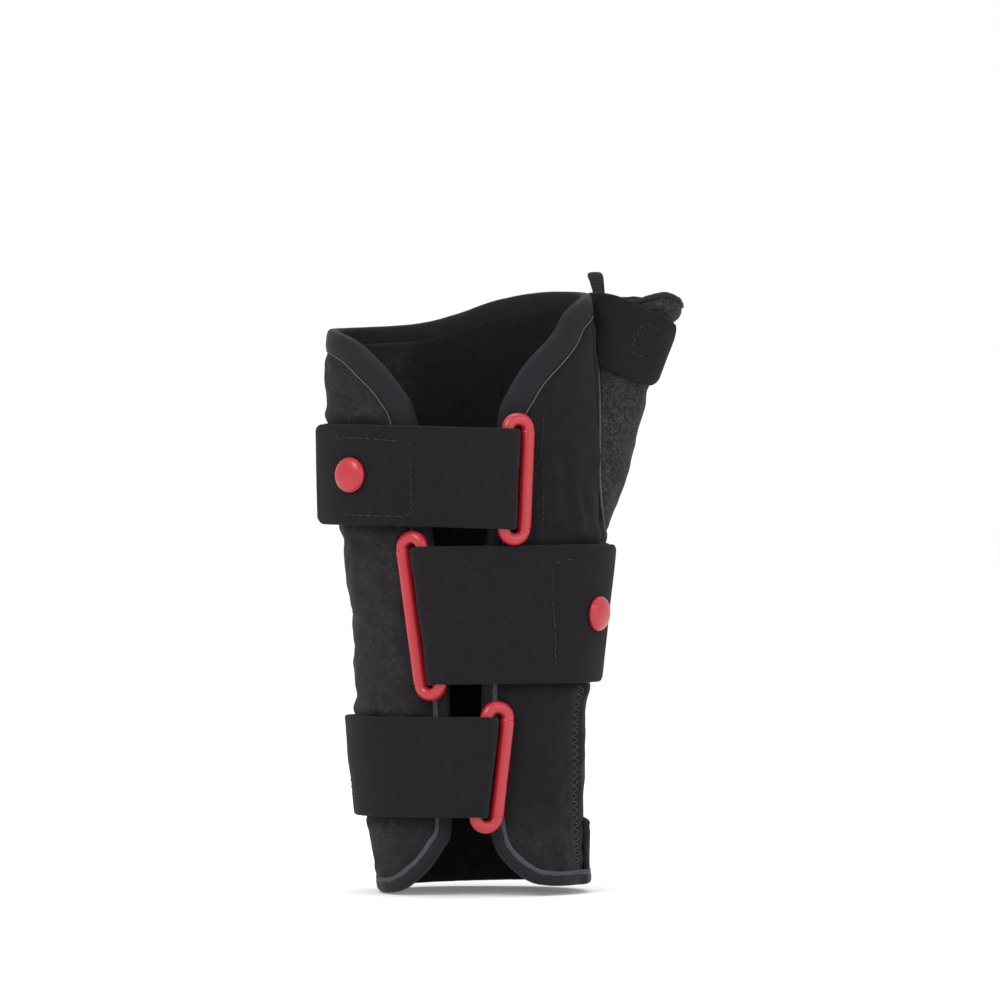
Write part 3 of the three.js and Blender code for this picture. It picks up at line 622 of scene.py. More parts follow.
def new_object(name: str, vertices: Array, faces: Sequence[Array], uv: Array | None = None) -> Thing:
    """Makes a smooth-shaded object from arrays, turned so that its faces point outwards.

    Args:
        name: the object's name.
        vertices: rows of x, y and z in millimetres.
        faces: arrays of vertex numbers, each array with one width.
        uv: a pair of numbers for each vertex, or nothing.

    Returns:
        The object, linked to the scene and riding on the body.
    """
    total = np.concatenate([np.full(len(rows), rows.shape[1]) for rows in faces])
    start = np.concatenate([[0], np.cumsum(total)[:-1]])
    corners = np.concatenate([rows.ravel() for rows in faces])
    volume = 0.0
    for rows in faces:
        for k in range(1, rows.shape[1] - 1):
            a, b, c = vertices[rows[:, 0]], vertices[rows[:, k]], vertices[rows[:, k + 1]]
            volume += float(np.einsum("ij,ij->", a, np.cross(b, c)))
    if volume < 0:
        corners = np.concatenate([rows[:, ::-1].ravel() for rows in faces])
    mesh = bpy.data.meshes.new(name)
    mesh.vertices.add(len(vertices))
    mesh.vertices.foreach_set("co", (vertices * METRES).astype(np.float32).ravel())
    mesh.loops.add(len(corners))
    mesh.loops.foreach_set("vertex_index", corners.astype(np.int32))
    mesh.polygons.add(len(total))
    mesh.polygons.foreach_set("loop_start", start.astype(np.int32))
    mesh.polygons.foreach_set("loop_total", total.astype(np.int32))
    mesh.polygons.foreach_set("use_smooth", np.ones(len(total), bool))
    if uv is not None:
        layer = mesh.uv_layers.new(name="cloth")
        layer.data.foreach_set("uv", uv[corners].astype(np.float32).ravel())
    mesh.update(calc_edges=True)
    mesh.validate()
    thing = bpy.data.objects.new(name, mesh)
    bpy.context.scene.collection.objects.link(thing)
    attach(thing, BODY)
    return thing


def quads(number: Array) -> Array:
    """The four-sided faces of a grid of vertex numbers, as rows of four."""
    a, b, c, d = number[:-1, :-1], number[1:, :-1], number[1:, 1:], number[:-1, 1:]
    return np.stack([a, b, c, d], axis=-1).reshape(-1, 4)


def tube_faces(rings: int, sides: int, closed: bool = False) -> list[Array]:
    """The faces of a tube: four-sided ones between its rings of vertices, and a cap at both ends.

    Args:
        rings: how many rings.
        sides: how many vertices in a ring.
        closed: whether the last ring joins the first, which leaves no caps.

    Returns:
        Arrays of vertex numbers.
    """
    number = np.arange(rings * sides).reshape(rings, sides)
    wrapped = np.hstack([number, number[:, :1]])
    if closed:
        wrapped = np.vstack([wrapped, wrapped[:1]])
    return [quads(wrapped)] if closed else [quads(wrapped), number[:1], number[-1:, ::-1]]


def cloth_uv(across: Array, along: Array) -> Array:
    """The cloth's own coordinates on a grid, with a row for each place along it."""
    return np.stack(np.broadcast_arrays(across[None, :], along[:, None]), axis=-1)


def tube(name: str, rings: Array, across: Array, along: Array, closed: bool = False) -> Thing:
    """A tube through rings of points, capped unless it is closed.

    Args:
        name: the object's name.
        rings: the points, by ring and place in it.
        across: the cloth's coordinate at each place in a ring.
        along: the cloth's coordinate at each ring.
        closed: whether the last ring joins the first.

    Returns:
        The tube's object.
    """
    uv = cloth_uv(across, along).reshape(-1, 2)
    return new_object(name, rings.reshape(-1, 3), tube_faces(*rings.shape[:2], closed), uv)


def shell(name: str, outer: Array, inner: Array, uv: Array, closed: bool = False) -> Thing:
    """A wall between two faces that are grids of the same size.

    Args:
        name: the object's name.
        outer: the outer face's points, by row and column.
        inner: the inner face's points.
        uv: the cloth's own coordinates, by row and column.
        closed: whether the rows go all the way round.

    Returns:
        The wall's object.
    """
    rows, columns = outer.shape[:2]
    count = rows * columns
    ring = np.arange(count).reshape(rows, columns)
    if closed:
        ring = np.vstack([ring, ring[:1]])
    faces = [quads(ring), quads(ring + count)[:, ::-1]]
    edges = [(ring[:, 0], -1), (ring[:, -1], 1)]
    if not closed:
        edges += [(ring[0], 1), (ring[-1], -1)]
    for edge, way in edges:
        strip = np.stack([edge[:-1], edge[1:], edge[1:] + count, edge[:-1] + count], axis=-1)
        faces.append(strip if way > 0 else strip[:, ::-1])
    vertices = np.concatenate([outer.reshape(-1, 3), inner.reshape(-1, 3)])
    return new_object(name, vertices, faces, np.concatenate([uv.reshape(-1, 2)] * 2))


def sweep(name: str, path: Array, normal: Array, section: Array, closed: bool = False,
          scale: Array | None = None) -> Thing:
    """Carries a closed section along a path.

    Args:
        name: the object's name.
        path: the path's points.
        normal: the direction of the section's second axis at each point.
        section: pairs of distances, to the path's side and along the normal.
        closed: whether the path joins up.
        scale: how large the section is at each point, or nothing for its own size.

    Returns:
        The swept object, capped if the path is open. Its cloth coordinates run round and along it.
    """
    step = np.roll(path, -1, 0) - np.roll(path, 1, 0) if closed else np.gradient(path, axis=0)
    way = unit(step)
    side = unit(np.cross(way, normal))
    up = np.cross(side, way)
    size = np.ones(len(path)) if scale is None else scale
    over, rise = section[:, 0] * size[:, None], section[:, 1] * size[:, None]
    rings = path[:, None] + over[..., None] * side[:, None] + rise[..., None] * up[:, None]
    return tube(name, rings, runs(section), runs(path), closed)


def circle(radius: float, sides: int) -> Array:
    """A round section: the cosine and sine of equal turns, times the radius."""
    turn = np.arange(sides) * 2 * math.pi / sides
    return radius * np.stack([np.cos(turn), np.sin(turn)], axis=-1)


def soft_square(sides: int, squareness: float) -> tuple[Array, Array]:
    """A section between a circle and a square, from -1 to 1 both ways.

    The cosine and sine keep their signs and are raised to the power of two over the squareness.

    Args:
        sides: how many points it has.
        squareness: 2 for a circle, and more for a squarer one.

    Returns:
        The points' places both ways.
    """
    both = circle(1.0, sides).T
    over, rise = np.sign(both) * np.abs(both) ** (2 / squareness)
    return over, rise


def threads(name: str, starts: Array, ends: Array, surface: Surface, radius: float) -> Thing:
    """Short threads that bulge out of a surface and dive into it at both ends.

    Along each one the height is a sine arch and the thickness narrows to the ends.

    Args:
        name: the object's name.
        starts: a pair of surface places for each thread.
        ends: where each thread ends.
        surface: gives points from the two places and a lift.
        radius: the thread's radius.

    Returns:
        All the threads as one object.
    """
    share = np.linspace(0, 1, STITCH_RINGS)
    place = starts[:, None] + (ends - starts)[:, None] * share[None, :, None]
    arch = radius * (1.7 * np.sin(math.pi * share) - 0.75)
    path = surface(place[..., 0], place[..., 1], np.broadcast_to(arch, place.shape[:2]))
    above = surface(place[..., 0], place[..., 1], np.broadcast_to(arch + 1, place.shape[:2]))
    up = unit(above - path)
    way = unit(np.gradient(path, axis=1))
    side = unit(np.cross(way, up))
    ring = circle(radius, STITCH_SIDES)
    thick = (0.55 + 0.45 * np.sin(math.pi * share))[None, :, None, None]
    round_it = ring[:, 0, None] * side[:, :, None] + ring[:, 1, None] * up[:, :, None]
    vertices = path[:, :, None] + round_it * thick
    one = STITCH_RINGS * STITCH_SIDES
    offset = (np.arange(len(starts)) * one)[:, None, None]
    faces = tube_faces(STITCH_RINGS, STITCH_SIDES)
    faces = [(rows + offset).reshape(-1, rows.shape[1]) for rows in faces]
    return new_object(name, vertices.reshape(-1, 3), faces, np.zeros((len(starts) * one, 2)))


def stitch_ends(line: Array, pitch: float, length: float) -> tuple[Array, Array]:
    """Where the stitches along a line start and end.

    Args:
        line: surface places along the line, evenly close together, with their runs in a third column.
        pitch: from one stitch to the next.
        length: of one stitch.

    Returns:
        The places where the stitches start, and where they end.
    """
    run = line[:, 2]
    first = np.arange(pitch / 4, run[-1] - length, pitch)
    starts, ends = (np.stack([np.interp(at, run, line[:, k]) for k in (0, 1)], axis=-1)
                    for at in (first, first + length))
    return starts, ends


def spline_weights(share: Array) -> list[Array]:
    """What four neighbours in a row count for, at a share of the way between the middle two."""
    t, s = share, 1 - share
    return [s**3 / 6, (3 * t**3 - 6 * t**2 + 4) / 6, (3 * s**3 - 6 * s**2 + 4) / 6, t**3 / 6]


@dataclass(frozen=True)
class Swell:
    """How a sleeve's padded cloth bulges, on an even grid of angles and heights.

    Attributes:
        low: the grid's lowest height.
        high: its highest.
        lift: the bulge, a row for each height and a column for each angle.
    """

    low: float
    high: float
    lift: Array

    def __call__(self, angle: Array, z: Array) -> Array:
        """Reads the bulge by a cubic spline over the sixteen nearest places of the grid.

        Args:
            angle: degrees round the sleeve.
            z: heights.

        Returns:
            Lifts to add.
        """
        rows, columns = self.lift.shape
        over = np.asarray(angle, float) % 360 / 360 * columns
        up = np.clip((np.asarray(z, float) - self.low) / (self.high - self.low), 0, 1) * (rows - 1)
        column, row = np.floor(over).astype(int), np.floor(up).astype(int)
        total = np.zeros(np.broadcast(over, up).shape)
        for i, across in enumerate(spline_weights(over - column)):
            for k, along in enumerate(spline_weights(up - row)):
                near = self.lift[np.clip(row + k - 1, 0, rows - 1), (column + i - 1) % columns]
                total = total + across * along * near
        return total

    @classmethod
    def blown(cls, sleeve: Sleeve, span: tuple[float, float], grid: tuple[int, int],
              hold: Callable[[Array, Array], Array], most: float, pressure: float) -> Swell:
        """Blows the cloth up a little between the places that hold it, by cloth simulation.

        The cloth is cut a few hundredths too large, so that it puckers where it is held. How far
        each place moves along the sleeve's outward direction is kept, and eased so that it never
        passes the most allowed: the most times the hyperbolic tangent of the move over the most.

        Args:
            sleeve: what the cloth covers.
            span: the lowest and highest heights.
            grid: how many heights and how many angles.
            hold: how firmly each place is held, from 0 to 1.
            most: the largest bulge.
            pressure: what blows it up.
        """
        rows, columns = grid
        angle, z = np.meshgrid(np.arange(columns) * 360 / columns, np.linspace(*span, rows))
        start = sleeve.point(angle, z, WALL)
        thing = new_object("swelling", start.reshape(-1, 3) * SWELL_SCALE, tube_faces(rows, columns))
        held = np.clip(hold(angle, z), 0, 1)
        held[[0, -1]] = 1
        level = np.rint(held.ravel() * HOLD_LEVELS).astype(int)
        group = thing.vertex_groups.new(name="held")
        for weight in range(1, HOLD_LEVELS + 1):
            group.add(np.flatnonzero(level == weight).tolist(), weight / HOLD_LEVELS, "REPLACE")
        cloth = thing.modifiers.new("swelling", "CLOTH")
        cloth.settings.quality = SWELL_QUALITY
        cloth.settings.vertex_group_mass = group.name
        cloth.settings.use_pressure = True
        cloth.settings.uniform_pressure_force = pressure
        cloth.settings.shrink_min = -SWELL_EXCESS
        cloth.settings.effector_weights.gravity = 0
        cloth.collision_settings.use_collision = False
        cloth.point_cache.frame_start, cloth.point_cache.frame_end = 1, SWELL_STEPS
        for step in range(1, SWELL_STEPS + 1):
            bpy.context.scene.frame_set(step)
        graph = bpy.context.evaluated_depsgraph_get()
        made = bpy.data.meshes.new_from_object(thing.evaluated_get(graph))
        moved = np.empty(len(made.vertices) * 3, np.float32)
        made.vertices.foreach_get("co", moved)
        moved = moved.reshape(rows, columns, 3) / (METRES * SWELL_SCALE)
        bpy.context.scene.frame_set(1)
        bpy.data.objects.remove(thing)
        bpy.data.meshes.remove(made)
        move = np.einsum("ijk,ijk->ij", moved - start, sleeve.normal(angle, z))
        log.info("cloth moved %.2f to %.2f mm", move.min(), move.max())
        return cls(*span, most * np.tanh(move / most))


class Slot(Enum):
    """The record's finishes, by name."""

    PLUSH = "plush"
    KNIT = "knit"
    BINDING = "binding"
    STRAP = "strap"
    PLASTIC = "red_plastic"


class Grain(Enum):
    """How a cloth's fine relief is made."""

    PILE = "pile"
    SPECKLE = "speckle"
    RIB = "rib"


class Shader:
    """Builds a material from nodes."""

    def __init__(self, name: str) -> None:
        """Starts an empty material.

        Args:
            name: the material's name.
        """
        self.material = bpy.data.materials.new(name)
        self.material.use_nodes = True
        self.tree = self.material.node_tree
        self.tree.nodes.clear()
        self.surface = self.node("ShaderNodeBsdfPrincipled")
        self.node("ShaderNodeOutputMaterial", {"Surface": self.surface.outputs["BSDF"]})

    def put(self, value: object, socket: Socket) -> None:
        """Sets an input to a value, or joins an output to it.

        Args:
            value: a plain value or a node's output.
            socket: the input.
        """
        if isinstance(value, Socket):
            self.tree.links.new(value, socket)
        else:
            socket.default_value = value

    def node(self, kind: str, inputs: dict | None = None, **settings: object) -> bpy.types.Node:
        """Adds a node.

        Args:
            kind: the node's type.
            inputs: values or output sockets for its inputs, by name or number.
            settings: the node's own settings.

        Returns:
            The node.
        """
        made = self.tree.nodes.new(kind)
        for key, value in settings.items():
            setattr(made, key, value)
        for key, value in (inputs or {}).items():
            self.put(value, made.inputs[key])
        return made

    def noise(self, place: Socket, size: float, detail: float = 2.0, curl: float = 0.0) -> Socket:
        """Cloudy noise.

        Args:
            place: the coordinates, in metres.
            size: the clouds' size in millimetres.
            detail: how many finer layers it has.
            curl: how strongly it is stirred.

        Returns:
            The noise's value, near a half.
        """
        inputs = {"Vector": place, "Scale": 1 / (size * METRES), "Detail": detail, "Distortion": curl}
        return self.node("ShaderNodeTexNoise", inputs).outputs["Fac"]

    def math(self, operation: str, first: object, second: object = 0.0) -> Socket:
        """One step of arithmetic on two values."""
        return self.node("ShaderNodeMath", {0: first, 1: second}, operation=operation).outputs[0]

    def mixed(self, first: object, first_share: float, second: object, second_share: float) -> Socket:
        """The sum of two values, each times its share."""
        parts = self.math("MULTIPLY", first, first_share), self.math("MULTIPLY", second, second_share)
        return self.math("ADD", *parts)

    def ramp(self, value: Socket, low: float, high: float, to: Sequence[float] = (0.0, 1.0)) -> Socket:
        """Maps a range of a value smoothly onto another range."""
        inputs = {"Value": value, "From Min": low, "From Max": high, "To Min": to[0], "To Max": to[1]}
        return self.node("ShaderNodeMapRange", inputs, interpolation_type="SMOOTHSTEP").outputs["Result"]

    def blend(self, share: Socket, low: Colour, high: Colour) -> Socket:
        """A colour between two, by a share."""
        inputs = {"Factor": share, 6: (*low, 1), 7: (*high, 1)}
        return self.node("ShaderNodeMix", inputs, data_type="RGBA").outputs[2]

    def bump(self, height: Socket, rise: float, strength: float, under: Socket | None = None) -> Socket:
        """A normal tilted by a relief.

        Args:
            height: the relief, from 0 to 1.
            rise: its full height in millimetres.
            strength: how much of it is used.
            under: a coarser relief that this one lies on.

        Returns:
            The normal.
        """
        inputs = {"Height": height, "Distance": rise * METRES, "Strength": strength}
        if under is not None:
            inputs["Normal"] = under
        return self.node("ShaderNodeBump", inputs).outputs["Normal"]

    def finish(self, **inputs: object) -> Material:
        """Sets the surface's inputs and gives the material.

        Args:
            inputs: by name, with underscores for spaces.

        Returns:
            The finished material.
        """
        for key, value in inputs.items():
            self.put(value, self.surface.inputs[key.replace("_", " ")])
        return self.material


@dataclass(frozen=True)
class Cloth:
    """A matt cloth.

    Attributes:
        name: the material's name.
        dark: the colour deep in the cloth.
        light: the colour of its raised fibres.
        grain: how its relief is made.
        size: the grain's size.
        rise: the grain's height.
        sheen: how strongly the fibres catch light from the side.
        roughness: of the cloth's own gloss.
        gloss: how strongly the cloth itself reflects.
        patch: the size of its slight unevenness of shade.
        nap_and_painted_light: whether its nap shows more in some places, where its colour is also painted
            lighter as painted light.
    """

    name: str
    dark: Colour
    light: Colour
    grain: Grain
    size: float
    rise: float
    sheen: float = 0.03
    roughness: float = 0.95
    gloss: float = 0.12
    patch: float = 5.0
    nap_and_painted_light: bool = False

    def relief(self, shader: Shader, place: Socket) -> tuple[Socket, Socket]:
        """The cloth's fine height, and the share of light fibre in its colour.

        Pile is curled noise whose crests are light. Speckle is a fine noise of light loops among
        dark ones, denser in some clumps. Rib is a wave along the cloth with a little noise.

        Args:
            shader: the material being built.
            place: the object's own coordinates.

        Returns:
            The height and the share.
        """
        if self.grain is Grain.RIB:
            along = shader.node("ShaderNodeUVMap", uv_map="cloth").outputs["UV"]
            inputs = {"Vector": along, "Scale": 0.31 / self.size, "Distortion": 0.6, "Detail": 1.0}
            rib = shader.node("ShaderNodeTexWave", inputs, bands_direction="Y")
            fibres = shader.noise(place, self.size)
            height = shader.mixed(rib.outputs["Fac"], 0.6, fibres, 0.4)
            return height, shader.ramp(height, 0.3, 0.8)
        curls = shader.noise(place, self.size * 1.6, 3, 1.4)
        if self.grain is Grain.PILE:
            fibres = shader.noise(place, self.size * 0.7)
            crests, gaps = shader.ramp(curls, 0.47, 0.72), shader.ramp(fibres, 0.3, 0.6, (0.35, 1))
            return shader.mixed(curls, 0.7, fibres, 0.3), shader.math("MULTIPLY", crests, gaps)
        loops = shader.noise(place, self.size * 1.5, 1)
        clumps = shader.noise(place, self.size * 4, 2)
        share = shader.ramp(shader.mixed(loops, 0.68, clumps, 0.32), 0.42, 0.66)
        return shader.mixed(loops, 0.7, curls, 0.3), share

    def nap_and_painted_light_factor(self, shader: Shader, place: Socket) -> Socket:
        """How much of the nap shows, with the plush painted lighter there as painted light: most at the
        wrap's lower end and on the little finger's side.

        Args:
            shader: the material being built.
            place: the object's own coordinates.

        Returns:
            The factor, which also comes and goes in tufts.
        """
        axes = shader.node("ShaderNodeSeparateXYZ", {0: place}).outputs
        low, high = NAP_AND_PAINTED_LIGHT_BELOW
        inner, outer = NAP_AND_PAINTED_LIGHT_BESIDE
        lower_end = shader.ramp(axes["Z"], low * METRES, high * METRES, (0.6, 0.2))
        little_side = shader.ramp(axes["X"], outer * METRES, inner * METRES, (0.85, 0.2))
        tufts = shader.ramp(shader.noise(place, TUFT_SIZE, 2), 0.3, 0.7, (0.75, 1.25))
        return shader.math("MULTIPLY", shader.math("MAXIMUM", lower_end, little_side), tufts)

    @cache
    def material(self) -> Material:
        """Builds the cloth's material, once.

        Returns:
            The material.
        """
        shader = Shader(self.name)
        place = shader.node("ShaderNodeTexCoord").outputs["Object"]
        patches = shader.noise(place, self.patch, 3)
        height, share = self.relief(shader, place)
        if self.nap_and_painted_light:
            # Painted light: the plush's colour is raised towards its light fibres where the nap shows
            # more, on the little finger's side and at the lower end.
            nap_and_painted_light_veil = shader.ramp(share, 0, 1, (0.22, 0.72))
            share = shader.math("MULTIPLY", nap_and_painted_light_veil, self.nap_and_painted_light_factor(shader, place))
        shade = shader.math("MULTIPLY", share, shader.ramp(patches, 0.3, 0.7, (0.7, 1.2)))
        colour = shader.blend(shade, self.dark, self.light)
        coarse = shader.bump(patches, self.rise * 0.8, 0.6)
        normal = shader.bump(height, self.rise, 0.9, coarse)
        return shader.finish(Base_Color=colour, Roughness=self.roughness, Normal=normal,
                             Sheen_Weight=self.sheen, Sheen_Roughness=0.5, Specular_IOR_Level=self.gloss)


@dataclass(frozen=True)
class Plastic:
    """A moulded plastic with a satin gloss.

    Attributes:
        name: the material's name.
        colour: its own colour.
        roughness: of its gloss.
    """

    name: str
    colour: Colour
    roughness: float = 0.3

    @cache
    def material(self) -> Material:
        """Builds the plastic's material, once.

        Returns:
            The material.
        """
        shader = Shader(self.name)
        place = shader.node("ShaderNodeTexCoord").outputs["Object"]
        haze = shader.noise(place, 3.0, 3)
        roughness = shader.ramp(haze, 0.3, 0.7, (self.roughness - 0.04, self.roughness + 0.07))
        darker = tuple(channel * 0.93 for channel in self.colour)
        colour = shader.blend(shader.ramp(haze, 0.3, 0.7), self.colour, darker)
        normal = shader.bump(shader.noise(place, 4.0, 1), 0.02, 0.25)
        return shader.finish(Base_Color=colour, Roughness=roughness, Normal=normal,
                             Subsurface_Weight=0.06, Subsurface_Radius=(0.002, 0.0004, 0.0004),
                             Coat_Weight=0.15, Coat_Roughness=0.2)


PLUSH = Cloth("plush_cloth", (0.0075, 0.0068, 0.0079), (0.052, 0.049, 0.056),
              Grain.PILE, 0.45, 0.24, nap_and_painted_light=True)
KNIT = Cloth("knit_cloth", (0.0145, 0.0140, 0.0155), (0.042, 0.040, 0.0445), Grain.SPECKLE, 0.44, 0.18)
TAPE = Cloth("tape_cloth", (0.0070, 0.0062, 0.0080), (0.0180, 0.0158, 0.0205),
             Grain.RIB, 0.42, 0.08, roughness=0.6)
WEBBING = Cloth("strap_cloth", (0.0088, 0.0079, 0.0092), (0.0190, 0.0172, 0.0200), Grain.PILE, 0.30, 0.07)
THREAD = Cloth("thread_cloth", (0.030, 0.028, 0.033), (0.070, 0.067, 0.075), Grain.PILE, 0.12, 0.04)
SEAM_THREAD = Cloth("seam_thread_cloth", (0.045, 0.044, 0.050), (0.11, 0.108, 0.12),
                    Grain.PILE, 0.12, 0.04)
PIPING = Cloth("piping_cloth", (0.06, 0.06, 0.066), (0.15, 0.15, 0.165), Grain.PILE, 0.2, 0.06)
CORD = Cloth("forearm_piping_cloth", (0.045, 0.048, 0.058), (0.115, 0.120, 0.140), Grain.PILE, 0.25, 0.08)
PLASTIC = Plastic("loop_plastic", (0.39, 0.009, 0.018))


@dataclass(kw_only=True)
class Assembly:
    """What every sub-assembly has.

    Attributes:
        pieces: what has been built.
    """

    pieces: list[Thing] = field(default_factory=list)

    def keep(self, piece: Thing, finish: Cloth | Plastic, slot: Slot, *nodes: str) -> None:
        """Gives a piece its material, hides the solids that it stands for, and keeps it.

        Args:
            piece: the piece.
            finish: what it is made of.
            slot: the record's finish that it takes after. Not used.
            nodes: the solids that it stands for.
        """
        piece.data.materials.append(finish.material())
        if nodes:
            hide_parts(*nodes)
        self.pieces.append(piece)


def hollow(pieces: Sequence[Thing], name: str, sleeve: Sleeve, sides: int,
           levels: tuple[float, float, int], lift: float) -> None:
    """Cuts the body inside a sleeve's face out of pieces for good.

    Args:
        pieces: what is cut.
        name: the cutting body's name.
        sleeve: the sleeve.
        sides: how many vertices the body has round it.
        levels: its lowest and highest levels, and how many rings it has.
        lift: how far it goes outside the sleeve's inner face.
    """
    low, high, rows = levels
    z = np.linspace(low * BRACE_LENGTH, high * BRACE_LENGTH, rows)
    rings = sleeve.point(np.arange(sides)[None, :] * 360 / sides, z[:, None], lift)
    cutter = new_object(name, rings.reshape(-1, 3), tube_faces(rows, sides))
    for piece in pieces:
        cut = piece.modifiers.new("cut", "BOOLEAN")
        cut.object, cut.operation, cut.solver = cutter, "DIFFERENCE", "EXACT"
        graph = bpy.context.evaluated_depsgraph_get()
        made = bpy.data.meshes.new_from_object(piece.evaluated_get(graph))
        piece.modifiers.clear()
        old, piece.data = piece.data, made
        made.name = piece.name
        bpy.data.meshes.remove(old)
    bpy.data.objects.remove(cutter)


FOLDS = table(
    Fold,
    (58, 0.265, 57.5, 0.10, 0.9, 2.2),
    (62, 0.20, 71, 0.13, 0.5, 2.6),
    (47, 0.30, 60, 0.345, 0.35, 3.0),
    (300, 0.33, 316, 0.23, 0.3, 3.2),
    (36, -0.155, 62, -0.175, 0.35, 2.6),
    (30, -0.40, 60, -0.385, 0.35, 3.0),
    (300, -0.36, 330, -0.375, 0.35, 3.0),
    (285, 0.0, 310, 0.03, 0.3, 3.0),
    (140, 0.12, 196, 0.05, 0.6, 3.6),
    (160, 0.28, 225, 0.24, 0.45, 4.0),
    (120, -0.2, 175, -0.16, 0.45, 3.6),
    (205, -0.3, 250, -0.27, 0.4, 3.4),
)


PANEL_STITCHES = table(Corner, (42.2, 0.103), (44.1, 0.199), (47.5, 0.296), (50.3, 0.314))


class Side(Enum):
    """The way that a strap's free end points from its loop."""

    LITTLE_FINGER = -1
    THUMB = 1


def turned(vector: Array, axis: Array, degrees: float) -> Array:
    """A vector turned about an axis of length one that is square to it."""
    turn = math.radians(degrees)
    return vector * math.cos(turn) + np.cross(axis, vector) * math.sin(turn)


def girth(start: float, end: float, z: float) -> float:
    """Millimetres along the arm's face between two angles at one height."""
    return float(runs(ARM.point(np.linspace(start, end, 25), z, WALL))[-1])


def corner_cut(distance: Array, radius: float) -> Array:
    """How much narrower each side of a strap is, at a distance from its rounded free end."""
    left = np.clip(radius - distance, 0, radius)
    return radius - np.sqrt(radius**2 - left**2)


def rounding(distance: Array, radius: float) -> Array:
    """A soft edge's share of the full thickness: a quarter circle that rises over the radius."""
    left = 1 - np.clip(distance / radius, 0, 1)
    return np.sqrt(1 - 0.93 * left * left)


def spread(half: float, pitch: float) -> Array:
    """Places across a strap, close together near both edges.

    Args:
        half: half the strap's width.
        pitch: between places in its middle.

    Returns:
        Distances from the middle line, from minus half up to half.
    """
    rim = np.array(SOFT_RIM)
    middle = np.linspace(-half + 2.2, half - 2.2, max(3, round((2 * half - 4.4) / pitch)))
    return np.concatenate([-half + rim, middle, half - rim[::-1]])


@dataclass(frozen=True)
class Patch:
    """Stitching on a strap, along straight lines from one place on it to the next.

    Attributes:
        corners: the places, as millimetres from the free end and across the strap.
        pitch: from one stitch to the next.
        length: of one stitch.
    """

    corners: tuple[tuple[float, float], ...]
    pitch: float = 2.3
    length: float = 1.7

    def distance(self, left: Array, across: Array) -> Array:
        """How far places on the strap are from the stitching.

        Args:
            left: millimetres from the free end.
            across: millimetres from the strap's middle line.

        Returns:
            The distances to the nearest line.
        """
        nearest = np.full(np.broadcast(left, across).shape, np.inf)
        for (l0, a0), (l1, a1) in zip(self.corners, self.corners[1:]):
            run, rise = l1 - l0, a1 - a0
            share = np.clip(((left - l0) * run + (across - a0) * rise) / (run**2 + rise**2), 0, 1)
            nearest = np.minimum(nearest, np.hypot(left - l0 - share * run, across - a0 - share * rise))
        return nearest

    def stitches(self) -> tuple[Array, Array]:
        """Where the stitches start and end.

        Returns:
            Their starts and ends, as millimetres from the free end and across the strap.
        """
        starts, ends = [], []
        for (l0, a0), (l1, a1) in zip(self.corners, self.corners[1:]):
            run = math.hypot(l1 - l0, a1 - a0)
            at = np.linspace(0, run, 40)
            line = np.stack([mix(l0, l1, at / run), mix(a0, a1, at / run), at], axis=-1)
            one, other = stitch_ends(line, self.pitch, self.length)
            starts.append(one)
            ends.append(other)
        return np.concatenate(starts), np.concatenate(ends)


